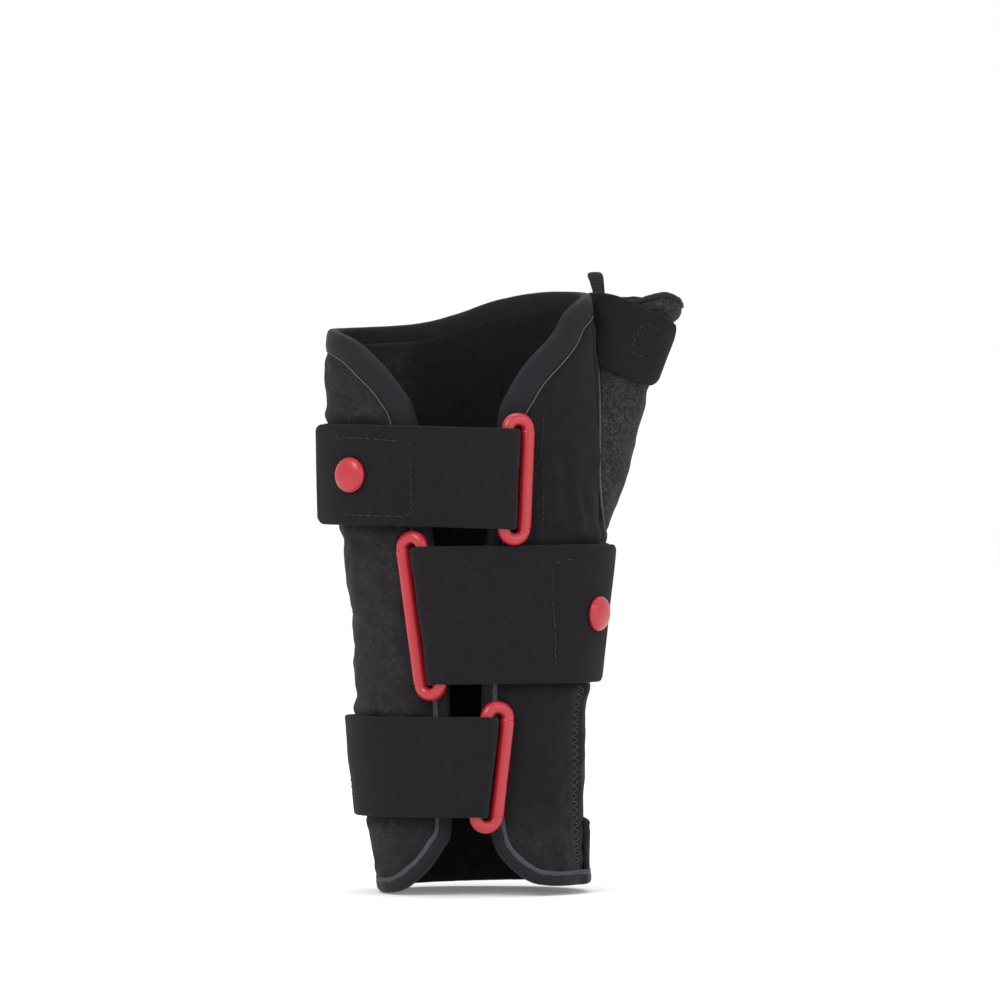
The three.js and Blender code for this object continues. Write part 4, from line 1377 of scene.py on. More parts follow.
@dataclass
class Closure(Assembly):
    """A strap with its loop and rivet.

    The strap comes from under the loop's outer bar, turns round the inner bar and lies back on
    itself.

    Attributes:
        name: which of the three it is.
        stacked: on which side of the middle strap it lies.
        gap: its distance from the middle loop.
        width: the strap's width.
        loop_angle: where the outer bar is.
        lean: how far that bar leans, in degrees.
        slope: how far the strap rises towards the thumb's side, in degrees.
        seat: where it lies in its loop, from -1 at the lower arm to 1 at the upper one.
        side: the way to the free end.
        end_angle: where the outer layer ends.
        root_angle: where the inner layer ends.
        rivet_angle: where the rivet sits.
        spring: how far the free end stands off.
        twist: the share of that by which its lower edge stands off more.
        patch: its stitching.
        pitch: between the cloth's vertices.
        rivet_diameter: of the rivet's head.
        rivet_height: of the rivet's head.
        rivet_rim: the head's straight side below its dome.
        rivet_edge: the height of the soft edge between them.
    """

    name: str
    stacked: int
    gap: float
    width: float
    loop_angle: float
    lean: float
    slope: float
    seat: float
    side: Side
    end_angle: float
    root_angle: float
    rivet_angle: float
    spring: float
    twist: float
    patch: Patch
    pitch: float = 1.3
    rivet_diameter: float = 11.3
    rivet_height: float = 2.8
    rivet_rim: float = 0.8
    rivet_edge: float = 0.35

    def __post_init__(self) -> None:
        """Works out the loop's axes and the strap's runs."""
        apart = (WIDE_STRAP_WIDTH + self.width) / 2 + LOOP_PLAY + LOOP_WIRE + self.gap
        self.height = MIDDLE_STRAP_LEVEL * BRACE_LENGTH + self.stacked * apart
        z, angle = self.height, self.loop_angle
        about = unit(ARM.point(angle + 1, z, WALL) - ARM.point(angle - 1, z, WALL))
        along = unit(ARM.point(angle, z + 1, WALL) - ARM.point(angle, z - 1, WALL))
        self.out = unit(np.cross(about, along))
        along = np.cross(self.out, about)
        self.bar = turned(along, self.out, -self.lean)
        self.way = np.cross(self.bar, self.out) * self.side.value
        tilt = math.radians(LOOP_TILT)
        self.across = self.way * math.cos(tilt) + self.out * math.sin(tilt)
        self.outer = ARM.point(angle, z, WALL + BINDING_PROUD + CLEARANCE + LOOP_SLEEVE / 2)
        self.inner = self.outer + self.across * LOOP_SPAN
        self.bend = LOOP_WIRE / 2 + CLEARANCE
        self.shift = self.seat * LOOP_PLAY
        self.drop = self.side.value * math.tan(math.radians(self.slope))
        self.root_run = girth(angle, self.root_angle, z)
        self.end_run = girth(angle, self.end_angle, z)

    def hub(self, across: Array) -> Array:
        """The fold's middle in the inner bar, for places from -1 to 1 across the strap."""
        return self.inner + (self.shift + np.asarray(across) * self.width / 2)[..., None] * self.bar

    def root_lift(self, lift: Array, share: Array) -> Array:
        """The inner layer's underside: it rises over the bound edges and to the bar.

        Args:
            lift: of the inner bar's middle.
            share: of the way from the bar to the layer's end.

        Returns:
            The underside's lift.
        """
        over = BINDING_PROUD * (1 - smoothstep(share, EDGES_END, EDGES_END + 0.2))
        at_bar = 1 - smoothstep(share * self.root_run, 0, STRAP_SETTLE / 2)
        return mix(WALL + STRAP_CLEARANCE + over, lift - self.bend - STRAP_THICKNESS, at_bar)

    def root(self, across: Array, share: Array, up: Array) -> Array:
        """Points of the inner layer.

        Args:
            across: from -1 to 1 over the strap's width.
            share: of the way from the bar to the layer's end.
            up: distance from its underside.

        Returns:
            The points.
        """
        hub = self.hub(across)
        angle0, lift = ARM.locate(hub)
        far = self.height + self.shift + self.drop * self.root_run + across * (self.width / 2)
        angle = mix(angle0, self.root_angle, share)
        return ARM.point(angle, mix(hub[..., 2], far, share), self.root_lift(lift, share) + up)

    def end(self, across: Array, share: Array, up: Array) -> Array:
        """Points of the outer layer, which eases down from the bar and stands off at its free end.

        Args:
            across: from -1 to 1 over the strap's width.
            share: of the way from the bar to the free end.
            up: distance from its underside.

        Returns:
            The points.
        """
        hub = self.hub(across)
        angle0, lift0 = ARM.locate(hub)
        half = self.width / 2 - corner_cut((1 - share) * self.end_run, STRAP_CORNER)
        far = self.height + self.shift + self.drop * self.end_run + across * half
        angle = mix(angle0, self.end_angle, share)
        under = (angle - angle0) / (self.root_angle - angle0)
        settled = self.root_lift(lift0, under) + STRAP_THICKNESS + CLEARANCE
        lift = mix(lift0 + self.bend, settled, smoothstep(share * self.end_run, 0, STRAP_SETTLE))
        left = (1 - share) * self.end_run
        tab = 1 - smoothstep(left, TAB_LENGTH, TAB_LENGTH + TAB_RISE)
        spring = self.spring * (1 - self.twist * across) * tab
        return ARM.point(angle, mix(hub[..., 2], far, share), lift + spring + up)

    def fold(self, across: Array, turn: Array, up: Array) -> Array:
        """Points of the strap's turn round the inner bar, a half circle about the bar's middle.

        Args:
            across: from -1 to 1 over the strap's width.
            turn: degrees, from -90 at the inner layer to 90 at the outer one.
            up: distance from its inner side.

        Returns:
            The points.
        """
        reach = (self.bend + up)[..., None]
        angle = np.radians(turn)[..., None]
        return self.hub(across) - reach * np.cos(angle) * self.way + reach * np.sin(angle) * self.out

    def strap(self) -> None:
        """Builds the strap as one soft band through its three stretches.

        Across the strap and towards both ends the thickness follows a quarter circle. Slight waves
        and a dip along the stitching lift or lower the faces.
        """
        over = spread(self.width / 2, self.pitch) / (self.width / 2)
        root = np.linspace(1, 0, round(self.root_run / self.pitch))[:-1]
        turns = np.linspace(-90, 90, 22)
        rim = np.array(SOFT_RIM[::-1]) / self.end_run
        body = np.linspace(0, 1 - STRAP_CORNER / self.end_run, round(self.end_run / self.pitch))[1:]
        corner = np.linspace(STRAP_CORNER - 0.4, 1.9, 5) / self.end_run
        end = np.concatenate([body, 1 - corner, 1 - rim])
        side = (1 - np.abs(over)) * self.width / 2
        waves = Ripple(0.12, 16, 3 + self.stacked, 9)

        def layer(at: Callable[..., Array], share: Array, left: Array, flip: int, outside: int) -> Array:
            """One stretch's face.

            Args:
                at: gives points of the stretch.
                share: the stations along it.
                left: millimetres from each station to the strap's nearer end.
                flip: -1 where the strap's outer side is turned to the arm, or 1.
                outside: 1 for the strap's outer side, or -1.

            Returns:
                The points, a row for each station.
            """
            across, station = np.meshgrid(over, share)
            distance = np.minimum(side[None, :], left[:, None])
            half = STRAP_THICKNESS / 2 * rounding(distance, STRAP_THICKNESS / 2)
            along = left[:, None] * np.ones_like(across)
            lift = waves(along, across * self.width / 2) * smoothstep(distance, 0, 4)
            if at == self.end and outside > 0:
                groove = self.patch.distance(along, across * self.width / 2)
                lift = lift - 0.26 * ridge(groove, 0.6) - 0.12 * ridge(groove, 2.4)
            return at(across, station, STRAP_THICKNESS / 2 + flip * outside * half + lift)

        def face(outside: int) -> Array:
            """The whole strap's face.

            Args:
                outside: 1 for the outer face, -1 for the inner one.

            Returns:
                The grid of points.
            """
            far = np.full(len(turns), 9.0)
            return np.concatenate([
                layer(self.root, root, (1 - root) * self.root_run, -1, outside),
                layer(self.fold, turns, far, 1, outside),
                layer(self.end, end, (1 - end) * self.end_run, 1, outside),
            ])

        outer, inner = face(1), face(-1)
        run = runs(outer[:, len(over) // 2])
        uv = cloth_uv(over * self.width / 2, run)
        piece = shell(f"{self.name}_strap_cloth", outer, inner, uv)
        self.keep(piece, WEBBING, Slot.STRAP, f"{self.name}_strap")

    def stitching(self) -> None:
        """Sews the strap's patch."""
        starts, ends = self.patch.stitches()

        def surface(left: Array, across: Array, lift: Array) -> Array:
            """The outer layer's face in the patch's own places."""
            share = 1 - left / self.end_run
            return self.end(across / (self.width / 2), share, STRAP_THICKNESS - 0.3 + lift)

        piece = threads(f"{self.name}_strap_stitches", starts, ends, surface, 0.18)
        self.keep(piece, THREAD, Slot.STRAP)

    def loop(self) -> None:
        """Builds the loop: a round wire bent to a rectangle with round corners.

        Each corner is a quarter circle, given by a cosine and a sine: the first and third ones turn
        off a long bar, and the others turn onto one. The outer bar has a slightly thicker sleeve.
        """
        half = self.width / 2 + LOOP_PLAY + LOOP_WIRE / 2
        straight = half - LOOP_CORNER
        turn = np.radians(np.linspace(0, 90, 11))
        sleeved = np.linspace(-straight + 0.75, straight - 0.75, 30)
        ends = straight - np.array([0.3, 0.42])
        bars = np.concatenate([-ends, sleeved, ends[::-1]])
        back = np.linspace(straight, -straight, 24)[1:-1]
        in_1, out_1 = LOOP_CORNER * (1 - np.cos(turn)), LOOP_CORNER * np.sin(turn)
        in_2, out_2 = LOOP_CORNER * (1 - np.sin(turn)), LOOP_CORNER * np.cos(turn)
        aside = [0 * bars, in_1, LOOP_SPAN - in_2, LOOP_SPAN + 0 * back, LOOP_SPAN - in_1, in_2]
        along = [bars, straight + out_1, straight + out_2, back, -straight - out_1, -straight - out_2]
        aside, along = np.concatenate(aside), np.concatenate(along)
        size = np.ones(len(aside))
        size[1:len(bars) - 1] = LOOP_SLEEVE / LOOP_WIRE
        path = self.outer + aside[:, None] * self.across + along[:, None] * self.bar
        kept = np.linalg.norm(np.roll(path, -1, 0) - path, axis=1) > 1e-6
        path, size = path[kept], size[kept]
        normal = np.broadcast_to(np.cross(self.across, self.bar), path.shape)
        piece = sweep(f"{self.name}_loop_wire", path, normal, circle(LOOP_WIRE / 2, 28), True, size)
        self.keep(piece, PLASTIC, Slot.PLASTIC, f"{self.name}_loop")

    def rivet(self) -> None:
        """Builds the rivet's head by turning a profile: a short rim with a soft edge below a dome."""
        share = (self.rivet_angle - self.loop_angle) / (self.end_angle - self.loop_angle)
        across = np.array([0, 0, RIVET_STEP, -RIVET_STEP, 0])
        along = share + np.array([RIVET_STEP, -RIVET_STEP, 0, 0, 0])
        up = STRAP_THICKNESS + np.array([0, 0, 0, 0, 0.1])
        ahead, behind, above, below, base = self.end(across, along, up)
        first = unit((ahead - behind) * self.side.value)
        out = unit(np.cross(first, above - below))
        radius, edge, rim = self.rivet_diameter / 2, self.rivet_edge, self.rivet_rim
        turn = np.linspace(0, math.pi / 2, 20)[:-1]
        dome_r = (radius - edge) * np.cos(turn) ** 0.92
        dome_h = rim + edge + (self.rivet_height - rim - edge) * np.sin(turn)
        profile_r = np.concatenate([[radius - 0.1, radius, radius, radius - 0.1], dome_r])
        profile_h = np.concatenate([[0, 0.12, rim, rim + edge * 0.8], dome_h])
        flat = circle(1.0, RIVET_SIDES) @ np.stack([first, np.cross(out, first)])
        rings = base + profile_r[:, None, None] * flat[None] + profile_h[:, None, None] * out
        count = rings.shape[0] * RIVET_SIDES
        tip = base + self.rivet_height * out
        quads, floor, top = tube_faces(rings.shape[0], RIVET_SIDES)
        fan = np.stack([top[0], np.roll(top[0], -1), np.full(RIVET_SIDES, count)], axis=-1)
        points = np.concatenate([rings.reshape(-1, 3), tip[None]])
        piece = new_object(f"{self.name}_rivet_head", points, [quads, fan, floor])
        self.keep(piece, PLASTIC, Slot.PLASTIC, f"{self.name}_rivet")

    def cover(self, angle: Array, z: Array) -> tuple[Array, Array, Array]:
        """Where places on the wrap lie under or beside the strap.

        Args:
            angle: degrees round the arm.
            z: heights.

        Returns:
            One within the strap's run and nought beyond its ends, one near its loop and nought
            elsewhere, and the millimetres beside the strap's edge.
        """
        turn = half_turn(angle)
        start, stop = sorted((self.loop_angle, self.root_angle))
        inside = smoothstep(turn, start - 6, start + 2) * (1 - smoothstep(turn, stop - 2, stop + 6))
        at_loop = 1 - smoothstep(np.abs(turn - self.loop_angle), 12, 26)
        share = np.clip((turn - self.loop_angle) / (self.root_angle - self.loop_angle), 0, 1)
        middle = self.height + self.shift + share * self.drop * self.root_run
        return inside, at_loop, np.abs(z - middle) - self.width / 2

    def dent(self, angle: Array, z: Array) -> Array:
        """How the strap presses the wrap: lower under it and puffed up beside it.

        Args:
            angle: degrees round the arm.
            z: heights.

        Returns:
            The change of lift.
        """
        inside, at_loop, off = self.cover(angle, z)
        puff = mix(0.9, 0.3, at_loop)
        return inside * (puff * ridge(off - 2.6, 2.6) - 0.25 * (1 - smoothstep(off, -3, 1)))

    def hold(self, angle: Array, z: Array) -> Array:
        """How firmly the strap and its loop hold the wrap's cloth, from 0 to 1."""
        inside, at_loop, off = self.cover(angle, z)
        return inside * (1 - smoothstep(off, 5.5 * at_loop, 3 + 5.5 * at_loop))

    def build(self) -> None:
        """Builds all the closure's pieces."""
        self.strap()
        self.stitching()
        self.loop()
        self.rivet()


@dataclass
class Wrap(Assembly):
    """The padded wrap: three panels, two bound edges with piping, and the flap over the stay's pocket.

    Attributes:
        closures: the straps that press it.
        hand_width: of the binding round the hand's half.
        forearm_width: of the binding round the forearm's half.
        tucked: how far the panels go under the bindings.
        pitch: between the cloth's vertices.
        flap_thickness: of the pocket's flap.
        flap_angles: where the flap starts and ends.
        flap_level: its upper edge.
        swell: how its padding bulges.
    """

    closures: Sequence[Closure]
    hand_width: float = 7.0
    forearm_width: float = 4.2
    tucked: float = 1.5
    pitch: float = 1.3
    flap_thickness: float = 1.7
    flap_angles: tuple[float, float] = (76.0, 150.0)
    flap_level: float = -0.366
    swell: Swell = field(init=False)

    def __post_init__(self) -> None:
        """Lets the padding swell."""
        span = (-0.49 * BRACE_LENGTH, 0.52 * BRACE_LENGTH)
        self.swell = Swell.blown(ARM, span, (92, 120), self.hold, most=1.1, pressure=2.0)

    def hand_binding_width(self, z: Array) -> Array:
        """The hand's binding narrows down the gap until it meets the forearm's."""
        return mix(self.forearm_width, self.hand_width, smoothstep(z / BRACE_LENGTH, 0, 0.28))

    def flap_cover(self, angle: Array) -> Array:
        """One where the flap lies between the wrap and its binding, and nought elsewhere."""
        start, stop = self.flap_angles
        return smoothstep(angle, start - 8, start) * (1 - smoothstep(angle, stop, stop + 8))

    def relief(self, angle: Array, z: Array) -> Array:
        """The cloth's unevenness: waves of two lengths, the creases and the straps' dents.

        Each crease is a valley along a line between two places, deepest halfway, with low banks.

        Args:
            angle: degrees round the arm.
            z: heights.

        Returns:
            Lifts to add.
        """
        over = angle * ARM_DEGREE
        total = sum(waves(over, z) for waves in PANEL_WAVES)
        for fold in FOLDS:
            x0, z0 = fold.start_angle * ARM_DEGREE, fold.start_level * BRACE_LENGTH
            x1, z1 = fold.end_angle * ARM_DEGREE, fold.end_level * BRACE_LENGTH
            length = math.hypot(x1 - x0, z1 - z0)
            along = ((over - x0) * (x1 - x0) + (z - z0) * (z1 - z0)) / length**2
            bow = FOLD_BOW * np.sin(math.pi * np.clip(along, 0, 1))
            beside = ((over - x0) * (z1 - z0) - (z - z0) * (x1 - x0)) / length - bow
            fade = smoothstep(along, -0.12, 0.3) * (1 - smoothstep(along, 0.7, 1.12))
            banks = 0.45 * ridge(np.abs(beside) - 1.9 * fold.width, fold.width)
            total = total + fade * fold.depth * (banks - ridge(beside, fold.width * 0.75))
        for closure in self.closures:
            total = total + closure.dent(angle, z)
        return total + self.swell(angle, z)

    def hold(self, angle: Array, z: Array) -> Array:
        """How firmly the edges, seams, straps and thumb's sleeve hold the wrap's padding.

        Args:
            angle: degrees round the arm.
            z: heights.

        Returns:
            From 0, loose, to 1, sewn down.
        """
        held = [1 - smoothstep(away_from(HAND_LINE, angle, z), 7, 11)]
        held.append(1 - smoothstep(away_from(FOREARM_LINE, angle, z), 4, 8))
        for seam in (thumb_seam, little_seam):
            beside = (angle - seam(z)) * ARM.per_degree(angle, z)
            held.append(1 - smoothstep(np.abs(beside), 1.5, 4.5))
        held += [closure.hold(angle, z) for closure in self.closures]
        _, off = THUMB.locate(ARM.point(angle, z, WALL))
        held.append(1 - smoothstep(off, WALL, WALL + 3.5))
        return np.maximum.reduce(held)

    def seam_dip(self, distance: Array) -> Array:
        """How far the cloth is drawn in at a seam, between low banks on both sides."""
        return 0.3 * ridge(distance, 1.4) - 0.2 * ridge(distance - 3.4, 2.2)

    def binding(self, name: str, line: Line, width: Array | float, lift: Array, phase: int) -> Thing:
        """A tape folded round an edge, as a closed superellipse section carried along it.

        Args:
            name: the piece's name.
            line: the edge.
            width: of the tape, at each of its points or everywhere.
            lift: the tape's upper face at each point.
            phase: seeds its puckers.

        Returns:
            The piece.
        """
        over, rise = soft_square(32, 3.4)
        run = line.runs()
        pucker = Ripple(0.10, 5.5, phase, 8).along(run) + Ripple(0.14, 26, phase + 1, 6).along(run)
        inwards = (1 - over)[:, None] / 2 * (width + 0.4 * pucker)[None, :] - 0.15 * pucker[None, :]
        moved = line.inset(inwards)
        height = (lift + np.abs(pucker) * 0.5)[None, :] * (0.5 + 0.5 * rise[:, None])
        rings = ARM.point(moved.angle, moved.z, height).transpose(1, 0, 2)
        return tube(name, rings, np.arange(len(over)) * TAPE_STEP, run)

    def bindings(self) -> None:
        """Builds both bound edges and their piping."""
        hand_width = self.hand_binding_width(HAND_LINE.z)
        flat = np.full(len(HAND_LINE.z), WALL + BINDING_PROUD)
        piece = self.binding("hand_edge_tape", HAND_LINE, hand_width, flat, 21)
        self.keep(piece, TAPE, Slot.BINDING, "hand_binding")
        lift = WALL + BINDING_PROUD + self.flap_cover(FOREARM_LINE.angle) * self.flap_thickness
        piece = self.binding("forearm_edge_tape", FOREARM_LINE, self.forearm_width, lift, 31)
        self.keep(piece, TAPE, Slot.BINDING, "forearm_binding")
        for name, line, width, top, section, finish in (
            ("hand_edge_piping", HAND_LINE, hand_width, flat, (0.26, 0.24), PIPING),
            ("forearm_edge_piping", FOREARM_LINE, self.forearm_width - 0.6, lift, (1.05, 0.34), CORD),
        ):
            inner = line.inset(width + section[0] * 0.3 + PIPING_WAVES.along(line.runs()))
            path = ARM.point(inner.angle, inner.z, top - BINDING_PROUD + section[1] * 0.4)
            piece = sweep(name, path, ARM.normal(inner.angle, inner.z), circle(1.0, 12) * section)
            self.keep(piece, finish, Slot.BINDING)

    def wall(self, name: str, angle: Array, z: Array, from_edge: Array, seams: Array) -> Thing:
        """A panel's wall, 3 mm thick with the cloth's relief on its face and a lining inside.

        The lift is the wall plus the relief, less a dip beside the binding and those at the seams,
        which fall off with the squared distance.

        Args:
            name: the piece's name.
            angle: degrees round the arm, by row and column.
            z: heights.
            from_edge: millimetres from the bound edge.
            seams: how far the seams draw the cloth in.

        Returns:
            The wall's object.
        """
        dip = 0.3 * ridge(from_edge - self.tucked, 2.2) + seams
        lift = WALL + self.relief(angle, z) * smoothstep(from_edge, 0, 7) - dip
        inner = ARM.point(angle, z, PANEL_LINING_WAVES(angle, z))
        return shell(name, ARM.point(angle, z, lift), inner, np.stack([angle, z], axis=-1))

    def side_panel(self, name: str, edge: Line, seam: Callable[[Array], Array]) -> Thing:
        """A side panel, ruled between a line along its bound edge and a seam.

        Args:
            name: the piece's name.
            edge: the line, which meets the seam at both ends.
            seam: the seam's angle at each height.

        Returns:
            The panel's object.
        """
        edge = edge.resampled(round(edge.runs()[-1] / self.pitch))
        run = edge.runs() / edge.runs()[-1]
        seam_z = mix(edge.z[0], edge.z[-1], run)
        seam_angle = seam(seam_z)
        ruled = ARM.point(edge.angle, edge.z, WALL) - ARM.point(seam_angle, seam_z, WALL)
        rows = (slice(1, -1), None)
        width = np.linalg.norm(ruled, axis=-1)[rows]
        share = np.linspace(0, 1, SIDE_PANEL_STEPS)[None, :]
        angle = mix(edge.angle[rows], seam_angle[rows], share)
        z = mix(edge.z[rows], seam_z[rows], share)
        return self.wall(name, angle, z, share * width, self.seam_dip((1 - share) * width))

    def palm_panel(self, name: str, lower: Line, upper: Line) -> Thing:
        """The palm's panel, between the two seams and the bindings.

        Args:
            name: the piece's name.
            lower: the forearm binding's inner line.
            upper: the hand binding's inner line.

        Returns:
            The panel's object.
        """
        share = np.linspace(0, 1, PALM_PANEL_STEPS[0])[:, None]
        up = np.linspace(0, 1, PALM_PANEL_STEPS[1])[None, :]
        angle = mix(78, LITTLE_SIDE_SEAM_ANGLE, share) + 0 * up
        for _ in range(3):
            z = mix(lower.height_at(angle), upper.height_at(angle), up)
            angle = mix(thumb_seam(z), LITTLE_SIDE_SEAM_ANGLE, share)
        per_degree = ARM.per_degree(angle, z)
        seams = self.seam_dip((angle - thumb_seam(z)) * per_degree)
        seams = seams + self.seam_dip((LITTLE_SIDE_SEAM_ANGLE - angle) * per_degree)
        from_edge = np.minimum(z - lower.height_at(angle), upper.height_at(angle) - z)
        return self.wall(name, angle, z, from_edge, seams)

    def panels(self) -> None:
        """Builds the three panels, with the way for the thumb cut through two of them."""
        hand = HAND_LINE.inset(self.hand_binding_width(HAND_LINE.z) - self.tucked)
        fore = FOREARM_LINE.inset(self.forearm_width - self.tucked)
        radial_edge = fore.cut(thumb_seam, False).joined(hand.cut(thumb_seam, True))
        radial = self.side_panel("radial_cloth", radial_edge, thumb_seam)
        ulnar_edge = hand.cut(little_seam, False).joined(fore.cut(little_seam, True))
        ulnar = self.side_panel("ulnar_cloth", ulnar_edge, little_seam)
        lower = fore.cut(little_seam, False).cut(thumb_seam, True)
        upper = hand.cut(thumb_seam, False).cut(little_seam, True)
        palmar = self.palm_panel("palmar_cloth", lower, upper)
        hollow([radial, palmar], "thumb_room", THUMB, 72, (THUMB_SECTIONS[0].level, 0.55, 40), 0.8)
        for piece, node in ((radial, "radial_panel"), (ulnar, "ulnar_panel"), (palmar, "palmar_panel")):
            self.keep(piece, PLUSH, Slot.PLUSH, node)

    def seams(self) -> None:
        """Sews zigzag stitches over both seams.

        Each stitch crosses the seam, and the next one comes back a step further on.
        """
        for name, seam, low, high in (
            ("thumb_side_seam_stitches", thumb_seam, -88.0, 20.0),
            ("little_side_seam_stitches", little_seam, -88.0, 82.0),
        ):
            z = np.arange(low, high, 1.15)
            swing = 1.5 * np.where(np.arange(len(z)) % 2, 1.0, -1.0)
            angle = seam(z) + swing / ARM.per_degree(seam(z), z)
            places = np.stack([angle, z], axis=-1)

            def surface(turn: Array, height: Array, lift: Array) -> Array:
                """The cloth's face beside the seam."""
                dip = self.seam_dip(np.abs(turn - seam(height)) * ARM.per_degree(turn, height))
                return ARM.point(turn, height, WALL + self.relief(turn, height) - dip + lift + 0.12)

            piece = threads(name, places[:-1], places[1:], surface, 0.2)
            self.keep(piece, SEAM_THREAD, Slot.PLUSH)

    def panel_stitches(self) -> None:
        """Sews the plain line on the thumb's side, beside the upper loop."""
        z = np.linspace(PANEL_STITCHES[0].level, PANEL_STITCHES[-1].level, 60) * BRACE_LENGTH
        angle = lookup(PANEL_STITCHES, "level", "angle", z / BRACE_LENGTH)
        line = np.stack([angle, z, Line(angle, z).runs()], axis=-1)
        starts, ends = stitch_ends(line, 2.3, 1.6)

        def surface(turn: Array, height: Array, lift: Array) -> Array:
            """The cloth's face."""
            return ARM.point(turn, height, WALL + self.relief(turn, height) + lift + 0.1)

        piece = threads("panel_stitches", starts, ends, surface, 0.15)
        self.keep(piece, THREAD, Slot.PLUSH)

    def flap(self) -> None:
        """Builds the flap over the stay's pocket: a soft band with a stitched upper edge."""
        start, stop = self.flap_angles
        fore = FOREARM_LINE.inset(self.forearm_width - self.tucked)
        angle = np.linspace(start, stop, 90)[:, None]
        up = np.linspace(0, 1, 26)[None, :]
        pick = fore.z < -0.4 * BRACE_LENGTH
        top = self.flap_level * BRACE_LENGTH
        z = mix(Line(fore.angle[pick], fore.z[pick]).height_at(angle), top, up)
        side = np.minimum(angle - start, stop - angle) * ARM.per_degree(angle, z)
        edge = np.minimum(side, top - z)
        half = self.flap_thickness / 2 * rounding(edge, self.flap_thickness / 2 + 0.4)
        middle = WALL + CLEARANCE + self.flap_thickness / 2
        face = middle + half + FLAP_WAVES(angle * 0.7, z) - 0.25 * ridge(edge - 2.4, 0.7)
        outer, inner = ARM.point(angle, z, face), ARM.point(angle, z, middle - half)
        piece = shell("pocket_flap_cloth", outer, inner, np.stack([angle + 0 * z, z], axis=-1))
        self.keep(piece, PLUSH, Slot.PLUSH, "pocket_flap")

    def build(self) -> None:
        """Builds all the wrap's pieces."""
        self.bindings()
        self.panels()
        self.seams()
        self.panel_stitches()
        self.flap()


def thumb_strap_height(angle: Array) -> Array:
    """The height of the thumb strap's middle line at each angle round the thumb."""
    return lookup(THUMB_STRAP_LINE, "angle", "level", angle) * BRACE_LENGTH


def thumb_strap_runs() -> tuple[Array, Array]:
    """Measures the thumb strap's middle line.

    Returns:
        Angles close together along it, and the millimetres to each.
    """
    fine = np.linspace(THUMB_STRAP_LINE[0].angle, THUMB_STRAP_LINE[-1].angle, 900)
    scale = THUMB.per_degree(fine, thumb_strap_height(fine))
    return fine, np.concatenate([[0], np.cumsum((scale[1:] + scale[:-1]) / 2 * np.diff(fine))])


